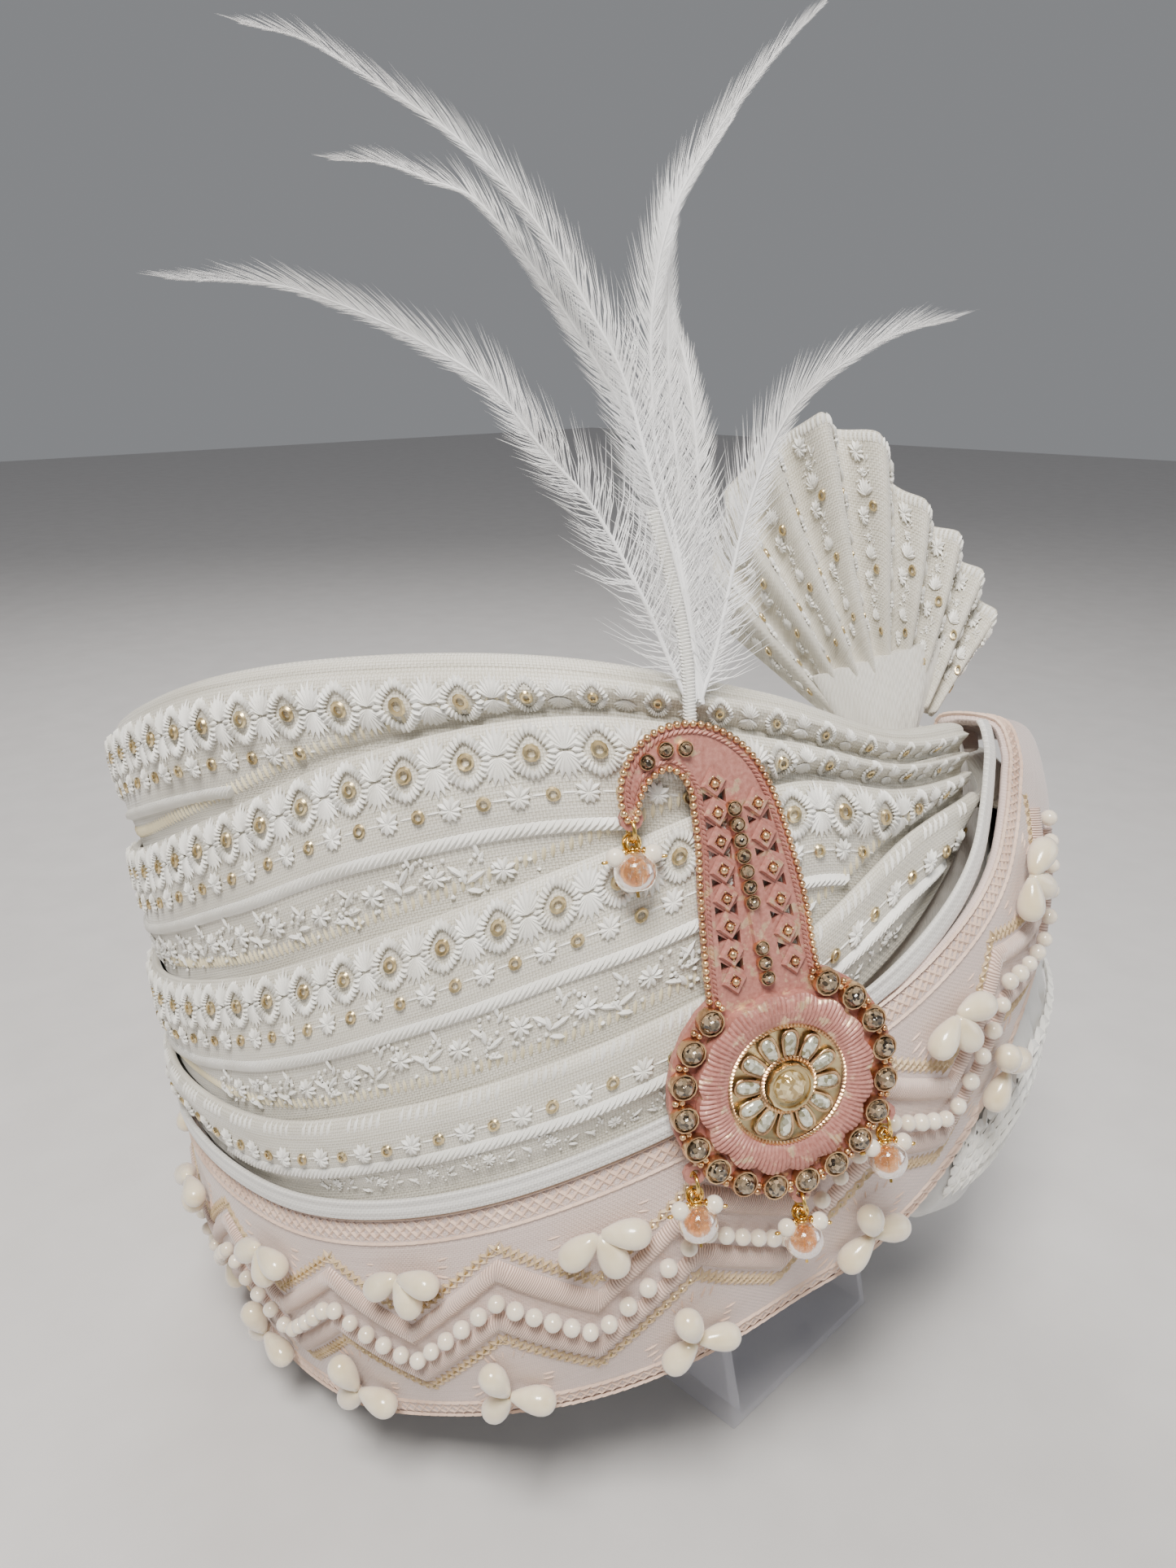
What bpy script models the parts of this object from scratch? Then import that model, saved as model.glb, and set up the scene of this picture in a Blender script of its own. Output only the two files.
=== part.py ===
"""A groom's tied turban with its plume and brooch, tipped back on a clear acrylic riser.

Metres, +Z up. The origin is the middle of the riser's base, the front is -Y.
The turban's pieces are modelled about the turban's own upright axis, and the
empty "turban_seat" tips them back and to the side.
"""

import math

import bmesh
import bpy
from mathutils import Euler, Matrix, Vector

# The turban's own sizes
RIM_HALF_WIDTH = 0.092
RIM_HALF_LENGTH = 0.097
OVAL_POWER = 2.15
WALL_HEIGHT = 0.163
SHELL_WALL = 0.0025
SHELL_TOP_DROP = 0.0012
CLOTH = 0.0022
LAP_RISE = 0.005
LAP_TUCK = 0.003
LAP_BEND = 0.0008
LAP_STEEPEST = 1.0
LAP_COVER = 0.0052
LINING_GAP = 0.0005
FACE_GAP = 0.0003

# How the turban sits on its riser
SEAT_PLACE = Vector((-0.008, 0.012, 0.0345))
TIP_BACK = math.radians(13)
TIP_SIDE = math.radians(7)

# The stiff cap inside
CAP_HEIGHT = 0.1125
CAP_SLOPE_X = -0.19
CAP_SLOPE_Y = -0.06
CAP_SHOULDER_DROP = 0.007
CAP_EDGE_DROP = 0.030

# The riser
STAND_WIDTH = 0.059
STAND_DEPTH = 0.124
STAND_SETBACK = 0.036
ACRYLIC = 0.003

# The border, its ribbon and its pearls
BORDER_CLOTH = 0.0025
BORDER_CREST = 0.0009
RIBBON_WIDTH = 0.0046
RIBBON_CLOTH = 0.0016
RIBBON_LIFT = 0.0034
STRING_PEARL = 0.0036
STRING_PERIOD = 0.0402
STRING_PEAK = 0.37
STRING_VALLEY = 0.61
STRING_GAP = 0.0009
DROP_PEARL_LENGTH = 0.0094
DROP_PEARL_WIDTH = 0.0058
CLUSTER_GAP = 0.0003

# The roll, the fan and the plume
ROLL_SWELL = 0.0125
FAN_REACH = 0.0785
FAN_CLOTH = 0.0013
FAN_PLEATS = 9
FAN_FOLD = 0.0048
FAN_ROOT_RADIUS = 0.0065
FAN_SHEATH_HEIGHT = 0.027
FAN_ROOT_DROP = 0.0085
FAN_INSET = 0.015
FAN_LEAF_START = 0.30
FAN_ANGLE = 284
FAN_FACING = 240
FEATHER_THICKNESS = 0.0010
PLUME_HEIGHT = 0.107
WIRE_RADIUS = 0.0012

# The brooch
BROOCH_MIDDLE_HEIGHT = 0.072
BROOCH_TOP_HEIGHT = 0.138
BROOCH_SIDESTEP = 0.0007
BROOCH_LIFT = 0.0066
BROOCH_PLATE = 0.0016
NECK_HEIGHT = 0.069
MEDALLION_RADIUS = 0.0222
ROSETTE_RADIUS = 0.0168
ROSETTE_HEIGHT = 0.0026
GOLD_DISC_RADIUS = 0.0112
GOLD_DISC_HEIGHT = 0.0010
CENTRE_RADIUS = 0.0046
CENTRE_HEIGHT = 0.0026
BORDER_STONES = 17
BORDER_OPENING = 26
BORDER_STONE_RADIUS = 0.0019
STONE_CUP_HEIGHT = 0.0009
STONE_RISE = 0.0014
PETALS = 12
PETAL_HALF_WIDTH = 0.00125
PETAL_STRETCH = 1.75
PETAL_PLACE = 0.0081
PETAL_RISE = 0.0009
STUD_WIDTH = 0.0042
STUD_HEIGHT = 0.0011
SPINE_WIDTH = 0.0022
RING_RADIUS = 0.0020
RING_WIRE = 0.00036
EYE_HOLE = 0.0011
AMBER_RADIUS = 0.0037
SMALL_PEARL = 0.0017
LOOP_RADIUS = 0.0015
BEAD_SINK = 0.0002
PEARL_DROP = 0.0022
PEARL_SPREAD = 0.0033
PEARL_LEAN = 0.0006


class Table:
    """Rows with named columns, read smoothly between rows by the first column."""

    def __init__(self, columns, *rows):
        self.columns = columns
        self.rows = rows
        self.keys = [row[0] for row in rows]

    def at(self, key, column):
        """Smooth value of one column at a place between the first and the last row."""
        index = self.columns.index(column)
        values = [row[index] for row in self.rows]
        key = min(max(key, self.keys[0]), self.keys[-1])
        low = max(i for i in range(len(self.keys) - 1) if self.keys[i] <= key)
        span = self.keys[low + 1] - self.keys[low]
        share = (key - self.keys[low]) / span

        def slope(i):
            before, after = max(i - 1, 0), min(i + 1, len(values) - 1)
            return (values[after] - values[before]) / (self.keys[after] - self.keys[before])

        a, b = values[low], values[low + 1]
        p, q = slope(low) * span, slope(low + 1) * span
        return (
            a
            + p * share
            + (3 * (b - a) - 2 * p - q) * share**2
            + (2 * (a - b) + p + q) * share**3
        )


# The oval at each height: shares of the wall height and of the rim's half width and half length.
# The shift moves the oval's middle to the front left, as a share of the rim's half width.
SECTIONS = Table(
    ("height", "width", "length", "shift"),
    (0.00, 1.000, 1.000, 0.000),
    (0.18, 1.080, 1.080, 0.043),
    (0.40, 1.120, 1.120, 0.109),
    (0.67, 1.100, 1.100, 0.157),
    (0.83, 1.082, 1.082, 0.178),
    (1.00, 1.055, 1.055, 0.195),
)

# Heights round the turban as shares of the wall height. 180 is the wearer's right, 270 the front.
EDGES = Table(
    ("angle", "rim", "border", "lap_4", "lap_3", "lap_2", "top"),
    (-80, -0.010, 0.205, 0.300, 0.400, 0.500, 0.590),
    (-60, -0.006, 0.215, 0.300, 0.390, 0.475, 0.560),
    (-30, -0.010, 0.240, 0.310, 0.385, 0.465, 0.546),
    (0, -0.020, 0.270, 0.335, 0.410, 0.490, 0.562),
    (45, -0.034, 0.295, 0.380, 0.475, 0.560, 0.640),
    (90, -0.040, 0.314, 0.420, 0.525, 0.640, 0.748),
    (135, -0.042, 0.337, 0.450, 0.580, 0.738, 0.880),
    (165, -0.040, 0.346, 0.458, 0.606, 0.790, 0.955),
    (190, -0.034, 0.331, 0.463, 0.654, 0.857, 0.996),
    (210, 0.000, 0.352, 0.503, 0.708, 0.908, 0.992),
    (230, 0.024, 0.397, 0.545, 0.750, 0.902, 0.945),
    (250, 0.055, 0.445, 0.588, 0.762, 0.810, 0.846),
    (265, 0.068, 0.490, 0.636, 0.694, 0.724, 0.752),
    (280, 0.060, 0.560, 0.630, 0.655, 0.680, 0.705),
)

# A lap from its folded upper edge down to where the next lap covers it: lift as a share of LAP_RISE.
LAP_PROFILE = Table(
    ("down", "lift"),
    (0.00, 0.72),
    (0.25, 0.74),
    (0.55, 0.62),
    (1.00, 0.10),
)

# The sash: the border's last stretch, up across the front left. Angles and heights of its two
# edges, the heights as shares of the wall height, and its lift as a share of LAP_RISE.
SASH = Table(
    ("step", "upper_angle", "upper", "lower_angle", "lower", "lift"),
    (1, 258.0, 0.463, 262.0, 0.066, 0.50),
    (2, 265.0, 0.488, 272.0, 0.098, 1.00),
    (3, 271.0, 0.521, 280.0, 0.172, 1.45),
    (4, 275.0, 0.558, 287.5, 0.258, 1.70),
    (5, 277.5, 0.601, 294.5, 0.340, 1.80),
    (6, 279.5, 0.645, 301.0, 0.412, 1.80),
    (7, 280.5, 0.680, 307.0, 0.486, 1.75),
    (8, 281.5, 0.715, 312.0, 0.580, 1.05),
    (9, 282.5, 0.720, 314.0, 0.590, -1.30),
    (10, 283.5, 0.672, 315.0, 0.556, -1.55),
)

# The roll under the sash, from the front round the wearer's left side: shares of ROLL_SWELL and
# of the border's height between rim and upper edge.
ROLL = Table(
    ("angle", "low", "high", "swell"),
    (-84, 0.10, 0.45, 0.30),
    (-78, -0.08, 0.90, 0.95),
    (-72, -0.20, 1.22, 1.25),
    (-60, -0.24, 1.36, 1.55),
    (-48, -0.20, 1.36, 1.55),
    (-36, -0.06, 1.22, 1.20),
    (-24, 0.20, 0.92, 0.65),
    (-18, 0.34, 0.86, 0.38),
    (-12, 0.45, 0.78, 0.20),
)

# The fan: how far its edge reaches at each angle above the horizontal, as a share of FAN_REACH.
FAN_EDGE = Table(
    ("angle", "reach"),
    (40, 0.48),
    (52, 0.58),
    (66, 0.69),
    (75, 0.76),
    (82, 0.90),
    (91, 1.00),
    (101, 0.975),
    (111, 0.91),
    (126, 0.68),
)

# The fan's bound root: shares of FAN_SHEATH_HEIGHT and of FAN_ROOT_RADIUS
FAN_SHEATH = Table(
    ("up", "wide", "deep"),
    (0.156, 0.8, 0.55),
    (0.370, 1.1, 0.62),
    (0.667, 1.9, 0.50),
    (1.000, 2.4, 0.24),
)

# Feathers: spine points in the brooch's plane as shares of PLUME_HEIGHT, measured from the
# middle of the plume's foot, width and how far each leans forward of that plane.
FEATHER_WIDTHS = Table(
    ("along", "width"),
    (0.0, 0.35),
    (0.3, 0.95),
    (0.6, 1.00),
    (0.9, 0.55),
    (1.0, 0.12),
)
FEATHERS = {
    "left_tall": dict(
        width=0.115,
        lean=0.10,
        spine=((0.011, 0.20), (0.00, 0.42), (-0.04, 0.60), (-0.13, 0.80), (-0.28, 0.92), (-0.44, 1.00)),
    ),
    "left_short": dict(
        width=0.075,
        lean=-0.12,
        spine=((0.006, 0.27), (-0.02, 0.47), (-0.09, 0.68), (-0.20, 0.83), (-0.33, 0.885)),
    ),
    "left_low": dict(
        width=0.120,
        lean=0.22,
        spine=((-0.002, 0.03), (-0.05, 0.19), (-0.13, 0.38), (-0.25, 0.54), (-0.41, 0.65), (-0.60, 0.69)),
    ),
    "right_tall": dict(
        width=0.080,
        lean=0.04,
        spine=((0.013, 0.235), (0.03, 0.45), (0.07, 0.63), (0.15, 0.78), (0.26, 0.86), (0.40, 0.945)),
    ),
    "right_mid": dict(
        width=0.060,
        lean=-0.20,
        spine=((0.010, 0.043), (0.09, 0.32), (0.12, 0.50), (0.14, 0.66), (0.20, 0.79), (0.31, 0.855)),
    ),
    "right_low": dict(
        width=0.085,
        lean=0.16,
        spine=(
            *((0.004, 0.016), (0.06, 0.13), (0.14, 0.27), (0.20, 0.36)),
            *((0.29, 0.43), (0.38, 0.465), (0.46, 0.47)),
        ),
    ),
}
# The plume's foot on the crook, as shares of NECK_HEIGHT
PLUME_FOOT = (-0.042, 0.996)
WIRE_ROUTE = ((0.00, 0.0), (0.015, 0.10), (0.018, 0.20), (0.010, 0.33))

# The brooch's neck from the medallion up and round its crook: places and half widths as shares
# of NECK_HEIGHT.
NECK = Table(
    ("step", "across", "up", "half_width"),
    (0, 0.000, 0.200, 0.160),
    (1, 0.003, 0.320, 0.152),
    (2, 0.014, 0.450, 0.146),
    (3, 0.020, 0.560, 0.136),
    (4, 0.024, 0.670, 0.121),
    (5, 0.020, 0.770, 0.108),
    (6, 0.004, 0.850, 0.092),
    (7, -0.040, 0.915, 0.074),
    (8, -0.100, 0.948, 0.056),
    (9, -0.160, 0.942, 0.045),
    (10, -0.210, 0.905, 0.035),
    (11, -0.236, 0.855, 0.026),
    (12, -0.243, 0.805, 0.016),
)
STUD_COLUMNS = (
    # across at the foot, across at the top, up at the foot, up at the top, studs
    (-0.076, -0.022, 0.318, 0.835, 8),
    (0.092, 0.078, 0.318, 0.755, 6),
)
SPINE = (0.010, 0.014, 0.30, 0.76)

# Drops on the medallion's edge: where round it their eyes are, in degrees
MEDALLION_DROPS = {"drop_2": 210.5, "drop_3": 267.5, "drop_4": 323.0}
EYE_OUTSET = 0.0011
HOOK_DROP = (-0.243, 0.805)

PALETTE = {
    "acrylic": ((0.90, 0.93, 0.95), 0.05, 0.0),
    "ivory_silk": ((0.86, 0.84, 0.80), 0.55, 0.0),
    "ribbon": ((0.88, 0.88, 0.90), 0.40, 0.0),
    "blush_border": ((0.82, 0.70, 0.64), 0.60, 0.0),
    "pearl": ((0.88, 0.84, 0.76), 0.22, 0.0),
    "feather": ((0.92, 0.92, 0.93), 0.70, 0.0),
    "rose_enamel": ((0.60, 0.34, 0.31), 0.42, 0.55),
    "gold": ((0.80, 0.62, 0.34), 0.30, 1.0),
    "smoky_stone": ((0.22, 0.17, 0.13), 0.08, 0.0),
    "clear_stone": ((0.78, 0.72, 0.60), 0.06, 0.0),
    "amber": ((0.83, 0.50, 0.28), 0.08, 0.0),
}


def clear_scene():
    for obj in list(bpy.data.objects):
        bpy.data.objects.remove(obj, do_unlink=True)


def new_collection(name):
    collection = bpy.data.collections.new(name)
    bpy.context.scene.collection.children.link(collection)
    return collection


def finish_of(name, finish):
    """A Principled material for one piece, from the palette."""
    colour, roughness, metallic = PALETTE[finish]
    material = bpy.data.materials.new(name)
    material.use_nodes = True
    shader = material.node_tree.nodes["Principled BSDF"]
    shader.inputs["Base Color"].default_value = (*colour, 1.0)
    shader.inputs["Roughness"].default_value = roughness
    shader.inputs["Metallic"].default_value = metallic
    return material


clear_scene()
PARTS = new_collection("tied_turban")
CUTTERS = new_collection("cutters")
TURBAN_SEAT = bpy.data.objects.new("turban_seat", None)
TURBAN_SEAT.location = SEAT_PLACE
TURBAN_SEAT.rotation_euler = Euler((-TIP_BACK, -TIP_SIDE, 0.0))
PARTS.objects.link(TURBAN_SEAT)
SEAT_MATRIX = Matrix.Translation(SEAT_PLACE) @ TURBAN_SEAT.rotation_euler.to_matrix().to_4x4()


def piece(name, mesh, finish, parent=None, place=None):
    """Links a mesh as one named piece of the model."""
    obj = bpy.data.objects.new(name, mesh)
    if not mesh.materials:
        mesh.materials.append(finish_of(name, finish))
    PARTS.objects.link(obj)
    obj.parent = parent
    if place is not None:
        obj.matrix_local = place
    mesh.shade_smooth()
    mesh.set_sharp_from_angle(angle=math.radians(32))
    return obj


def helper(mesh):
    """A cutter or a body to be joined, out of the model itself."""
    obj = bpy.data.objects.new("helper", mesh)
    obj.hide_render = True
    obj.display_type = "WIRE"
    CUTTERS.objects.link(obj)
    return obj


def mesh_from(bm, name):
    bmesh.ops.recalc_face_normals(bm, faces=bm.faces)
    mesh = bpy.data.meshes.new(name)
    bm.to_mesh(mesh)
    bm.free()
    return mesh


def combined(mesh, others, operation):
    """The mesh after a Boolean with each of the other meshes."""
    subject = helper(mesh)
    tools = [helper(other) for other in others]
    for tool in tools:
        modifier = subject.modifiers.new("join", "BOOLEAN")
        modifier.operation = operation
        modifier.solver = "EXACT"
        modifier.object = tool
    bpy.context.view_layer.update()
    graph = bpy.context.evaluated_depsgraph_get()
    result = bpy.data.meshes.new_from_object(subject.evaluated_get(graph))
    result.materials.clear()
    for obj in [subject, *tools]:
        bpy.data.objects.remove(obj, do_unlink=True)
    return result


def oval(angle, height, lift=0.0):
    """A point of the cap's outer wall, in the turban's own frame; the angle is in degrees."""
    share = height / WALL_HEIGHT
    turn = math.radians(angle)
    cosine, sine = math.cos(turn), math.sin(turn)
    squarer = (abs(cosine) ** OVAL_POWER + abs(sine) ** OVAL_POWER) ** (-1 / OVAL_POWER)
    wide = RIM_HALF_WIDTH * SECTIONS.at(share, "width") * squarer
    long = RIM_HALF_LENGTH * SECTIONS.at(share, "length") * squarer
    shift = RIM_HALF_WIDTH * SECTIONS.at(share, "shift")
    return Vector((shift + (wide + lift) * cosine, -shift + (long + lift) * sine, height))


def oval_middle(height):
    shift = RIM_HALF_WIDTH * SECTIONS.at(height / WALL_HEIGHT, "shift")
    return Vector((shift, -shift, height))


def edge(angle, column):
    """Height of one of the turban's edges at an angle from -80 to 280."""
    return WALL_HEIGHT * EDGES.at(angle, column)


def loft(name, rings, first_pole=None, last_pole=None, ends=False):
    """A closed skin through rings of points, ended by poles or by flat caps."""
    bm = bmesh.new()
    loops = [[bm.verts.new(point) for point in ring] for ring in rings]
    count = len(loops[0])
    for lower, upper in zip(loops, loops[1:]):
        for i in range(count):
            j = (i + 1) % count
            bm.faces.new((lower[i], lower[j], upper[j], upper[i]))
    for pole, loop in ((first_pole, loops[0]), (last_pole, loops[-1])):
        if pole is not None:
            tip = bm.verts.new(pole)
            for i in range(count):
                bm.faces.new((loop[i], loop[(i + 1) % count], tip))
        elif ends:
            bm.faces.new(loop)
    return mesh_from(bm, name)


def draped(name, columns, rows, place, thickness, finish, parent):
    """Cloth: a grid laid by place(column, row), given its thickness outwards."""
    bm = bmesh.new()
    wide, high = len(columns) - 1, len(rows) - 1
    bmesh.ops.create_grid(bm, x_segments=wide, y_segments=high, size=0.5)
    for vert in bm.verts:
        i = round((vert.co.x + 0.5) * wide)
        j = round((vert.co.y + 0.5) * high)
        vert.co = place(columns[i], rows[j])
    mesh = bpy.data.meshes.new(name)
    bm.to_mesh(mesh)
    bm.free()
    obj = piece(name, mesh, finish, parent)
    wall = obj.modifiers.new("cloth", "SOLIDIFY")
    wall.thickness = thickness
    wall.offset = 1.0
    return obj


def tube_mesh(name, points, radius, resolution=2, cyclic=False):
    """A round wire through points as a welded mesh."""
    curve = bpy.data.curves.new(name, "CURVE")
    curve.dimensions = "3D"
    curve.bevel_depth = radius
    curve.bevel_resolution = resolution
    curve.use_fill_caps = not cyclic
    spline = curve.splines.new("POLY")
    spline.points.add(len(points) - 1)
    for target, point in zip(spline.points, points):
        target.co = (*point, 1.0)
    spline.use_cyclic_u = cyclic
    obj = helper_curve(curve)
    return obj


def helper_curve(curve):
    """The mesh of a curve, with its caps welded, and the curve removed."""
    obj = bpy.data.objects.new("helper_curve", curve)
    CUTTERS.objects.link(obj)
    bpy.context.view_layer.update()
    graph = bpy.context.evaluated_depsgraph_get()
    mesh = bpy.data.meshes.new_from_object(obj.evaluated_get(graph))
    bpy.data.objects.remove(obj, do_unlink=True)
    bm = bmesh.new()
    bm.from_mesh(mesh)
    bmesh.ops.remove_doubles(bm, verts=bm.verts, dist=1e-6)
    return mesh_from(bm, mesh.name)


def cap_plane(x, y):
    """Height of the flat cap's top face."""
    return CAP_HEIGHT + CAP_SLOPE_X * x + CAP_SLOPE_Y * y


def crown_shell():
    """The stiff cap: outer wall, its edge, the flat cap and the inner wall, in one closed skin."""

    def wall_ring(height_of, lift):
        ring = []
        for angle in LAP_ANGLES:
            ring.append(oval(angle, height_of(angle), lift))
        return ring

    def rim(angle):
        return edge(angle, "rim")

    def top(angle):
        return edge(angle, "top") - SHELL_TOP_DROP

    def between(share):
        return lambda angle: rim(angle) + share * (top(angle) - rim(angle))

    def cap_ring(share, drop, below):
        ring = []
        for angle in LAP_ANGLES:
            middle = oval_middle(CAP_HEIGHT)
            out = oval(angle, CAP_HEIGHT, -SHELL_WALL) - middle
            x, y = middle.x + share * out.x, middle.y + share * out.y
            ring.append(Vector((x, y, cap_plane(x, y) - drop - below)))
        return ring

    def shoulder_ring(below):
        ring = []
        for angle in LAP_ANGLES:
            seat = oval(angle, CAP_HEIGHT, -SHELL_WALL)
            height = cap_plane(seat.x, seat.y) - CAP_EDGE_DROP - below
            ring.append(oval(angle, height, -SHELL_WALL))
        return ring

    middle = oval_middle(CAP_HEIGHT)
    crest = Vector((middle.x, middle.y, cap_plane(middle.x, middle.y)))
    rings = [
        cap_ring(0.72, 0.0, 0.0),
        cap_ring(0.86, CAP_SHOULDER_DROP, 0.0),
        shoulder_ring(0.0),
        wall_ring(top, -SHELL_WALL),
        wall_ring(top, 0.0),
        wall_ring(between(0.62), 0.0),
        wall_ring(between(0.28), 0.0),
        wall_ring(rim, 0.0),
        wall_ring(rim, -SHELL_WALL),
        wall_ring(between(0.28), -SHELL_WALL),
        shoulder_ring(SHELL_WALL),
        cap_ring(0.86, CAP_SHOULDER_DROP, SHELL_WALL),
        cap_ring(0.72, 0.0, SHELL_WALL),
    ]
    mesh = loft("crown_shell", rings, crest, crest - Vector((0, 0, SHELL_WALL)))
    piece("crown_shell", mesh, "ivory_silk", TURBAN_SEAT)


LAP_ANGLES = (*range(-72, 253, 12), 258, 264, 270, 276)
LAP_ROWS = ("tuck", 1.0, 0.55, 0.0)


def lap_line(angle, name):
    """Height of a lap's edge, or of the ribbon's upper edge for the name 'ribbon'."""
    if name == "ribbon":
        return edge(angle, "border") + RIBBON_WIDTH + 2 * FACE_GAP
    return edge(angle, name)


def lap_place(upper, lower, beyond):
    """Where a lap's cloth lies between its own edge and the next one below."""

    def place(angle, row):
        high, low = lap_line(angle, upper), lap_line(angle, lower)
        if row == "tuck":
            tuck = LAP_TUCK
            if beyond is not None:
                tuck = min(LAP_TUCK, max(low - lap_line(angle, beyond) - LAP_COVER, FACE_GAP))
            return oval(angle, low - tuck, LINING_GAP)
        height = max(high + row * (low - high), low + LAP_BEND)
        gentle = LINING_GAP + LAP_STEEPEST * (height - low - LAP_BEND)
        return oval(angle, height, min(LAP_RISE * LAP_PROFILE.at(row, "lift"), gentle))

    return place


def wraps():
    """The three lower laps, then the top one, which rolls over the wall's edge."""
    laps = (
        ("wrap_2", "lap_2", "lap_3", "lap_4"),
        ("wrap_3", "lap_3", "lap_4", "ribbon"),
        ("wrap_4", "lap_4", "ribbon", None),
    )
    for name, upper, lower, beyond in laps:
        place = lap_place(upper, lower, beyond)
        draped(name, LAP_ANGLES, LAP_ROWS, place, CLOTH, "ivory_silk", TURBAN_SEAT)

    side_place = lap_place("top", "lap_2", "lap_3")
    # how far above the edge, and outwards, the rolled part of the top lap passes
    rolled = {
        "over": (0.0002, 0.0008),
        "inside": (0.0002, -SHELL_WALL - 0.0002),
        "inner_end": (-0.0065, -SHELL_WALL - 0.0007),
    }

    def rolled_place(angle, row):
        if row in rolled:
            up, out = rolled[row]
            return oval(angle, edge(angle, "top") + up, out)
        return side_place(angle, row)

    rows = ("tuck", 1.0, 0.60, 0.20, "over", "inside", "inner_end")
    draped("wrap_1", LAP_ANGLES, rows, rolled_place, CLOTH, "ivory_silk", TURBAN_SEAT)


def border_stations():
    """The border's course: (upper angle, upper height, lower angle, lower height, lift)."""
    course = []
    for angle in range(-24, 253, 12):
        course.append((angle, edge(angle, "border"), angle, edge(angle, "rim"), 0.0))
    for row in SASH.rows:
        _, upper_angle, upper, lower_angle, lower, lift = row
        course.append((upper_angle, upper * WALL_HEIGHT, lower_angle, lower * WALL_HEIGHT, lift * LAP_RISE))
    return course


BORDER_COURSE = border_stations()


def border_point(step, down, lift):
    """A point on the border's course: down is 0 at its upper edge and 1 at its lower."""
    low = min(max(int(math.floor(step)), 0), len(BORDER_COURSE) - 2)
    share = step - low
    a, b = BORDER_COURSE[low], BORDER_COURSE[low + 1]
    upper_angle, upper, lower_angle, lower, rise = (p + share * (q - p) for p, q in zip(a, b))
    angle = upper_angle + down * (lower_angle - upper_angle)
    height = upper + down * (lower - upper)
    return oval(angle, height, lift + rise)


def border_width(step):
    return (border_point(step, 0.0, 0.0) - border_point(step, 1.0, 0.0)).length


BORDER_LIFT = LINING_GAP + 0.0003


def border_inside(step, down):
    """A point of the border's inner face, slightly crowned between its edges."""
    return border_point(step, down, BORDER_LIFT + BORDER_CREST * math.sin(math.pi * down))


def border_band():
    """The border itself."""
    steps = range(len(BORDER_COURSE))
    draped("border_band", steps, (1.0, 0.5, 0.0), border_inside, BORDER_CLOTH, "blush_border", TURBAN_SEAT)


def border_seat(step, down, stand_off):
    """Axes and place for something lying on the border's outer face, on its flat facet."""
    low, near = int(step), 0.0 if down < 0.5 else 0.5
    a, b = border_inside(low, near), border_inside(low + 1, near)
    c, d = border_inside(low, near + 0.5), border_inside(low + 1, near + 0.5)
    share, drop = step - low, (down - near) / 0.5
    along = (a.lerp(c, drop) - b.lerp(d, drop)).normalized() * -1
    up = (a.lerp(b, share) - c.lerp(d, share)).normalized()
    out = along.cross(up).normalized()
    place = Matrix((along, out.cross(along), out)).transposed().to_4x4()
    place.translation = a.lerp(b, share).lerp(c.lerp(d, share), drop) + out * (BORDER_CLOTH + stand_off)
    return place


def ribbon_piping():
    """The ribbon along the border's upper edge, over the foot of the last lap."""
    steps = range(len(BORDER_COURSE) - 2)

    def place(step, out):
        width = border_width(step)
        rise = BORDER_COURSE[step][4]
        lift = RIBBON_LIFT - 0.45 * rise
        return border_point(step, -(2 * FACE_GAP + out * RIBBON_WIDTH) / width, lift)

    draped("ribbon_piping", steps, (0.0, 1.0), place, RIBBON_CLOTH, "ribbon", TURBAN_SEAT)


PEARL_ANCHOR_STEP = 20.08


def run_lengths():
    """Length along the border's middle at each of its stations, from the anchor peak."""
    total = [0.0]
    for step in range(1, len(BORDER_COURSE)):
        total.append(total[-1] + (border_point(step, 0.5, 0.0) - border_point(step - 1, 0.5, 0.0)).length)
    low = int(PEARL_ANCHOR_STEP)
    anchor = total[low] + (PEARL_ANCHOR_STEP - low) * (total[low + 1] - total[low])
    return [length - anchor for length in total]


RUN = run_lengths()


def step_at(length):
    """The station, with its fraction, at a length from the anchor peak."""
    for step in range(1, len(RUN)):
        if RUN[step] >= length:
            return step - 1 + (length - RUN[step - 1]) / (RUN[step] - RUN[step - 1])
    return float(len(RUN) - 1)


FIRST_HALF_PERIOD = math.ceil((RUN[1] + 0.012) / (0.5 * STRING_PERIOD))
LAST_HALF_PERIOD = math.floor((RUN[-4] - 0.002) / (0.5 * STRING_PERIOD))


# Half periods that carry a cluster: all on the brooch's side but the one behind the medallion
CLUSTER_HALVES = [half for half in range(-3, LAST_HALF_PERIOD) if half != 3]


def pearl_string():
    """The zigzag string of round pearls, as one tube of their thickness."""
    points = []
    lift = BORDER_LIFT + BORDER_CREST + BORDER_CLOTH + STRING_GAP + 0.5 * STRING_PEARL
    for half in range(FIRST_HALF_PERIOD, LAST_HALF_PERIOD + 1):
        down = STRING_PEAK if half % 2 == 0 else STRING_VALLEY
        points.append(border_point(step_at(half * 0.5 * STRING_PERIOD), down, lift))
    mesh = tube_mesh("pearl_string", points, 0.5 * STRING_PEARL, 1)
    piece("pearl_string", mesh, "pearl", TURBAN_SEAT)


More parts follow.
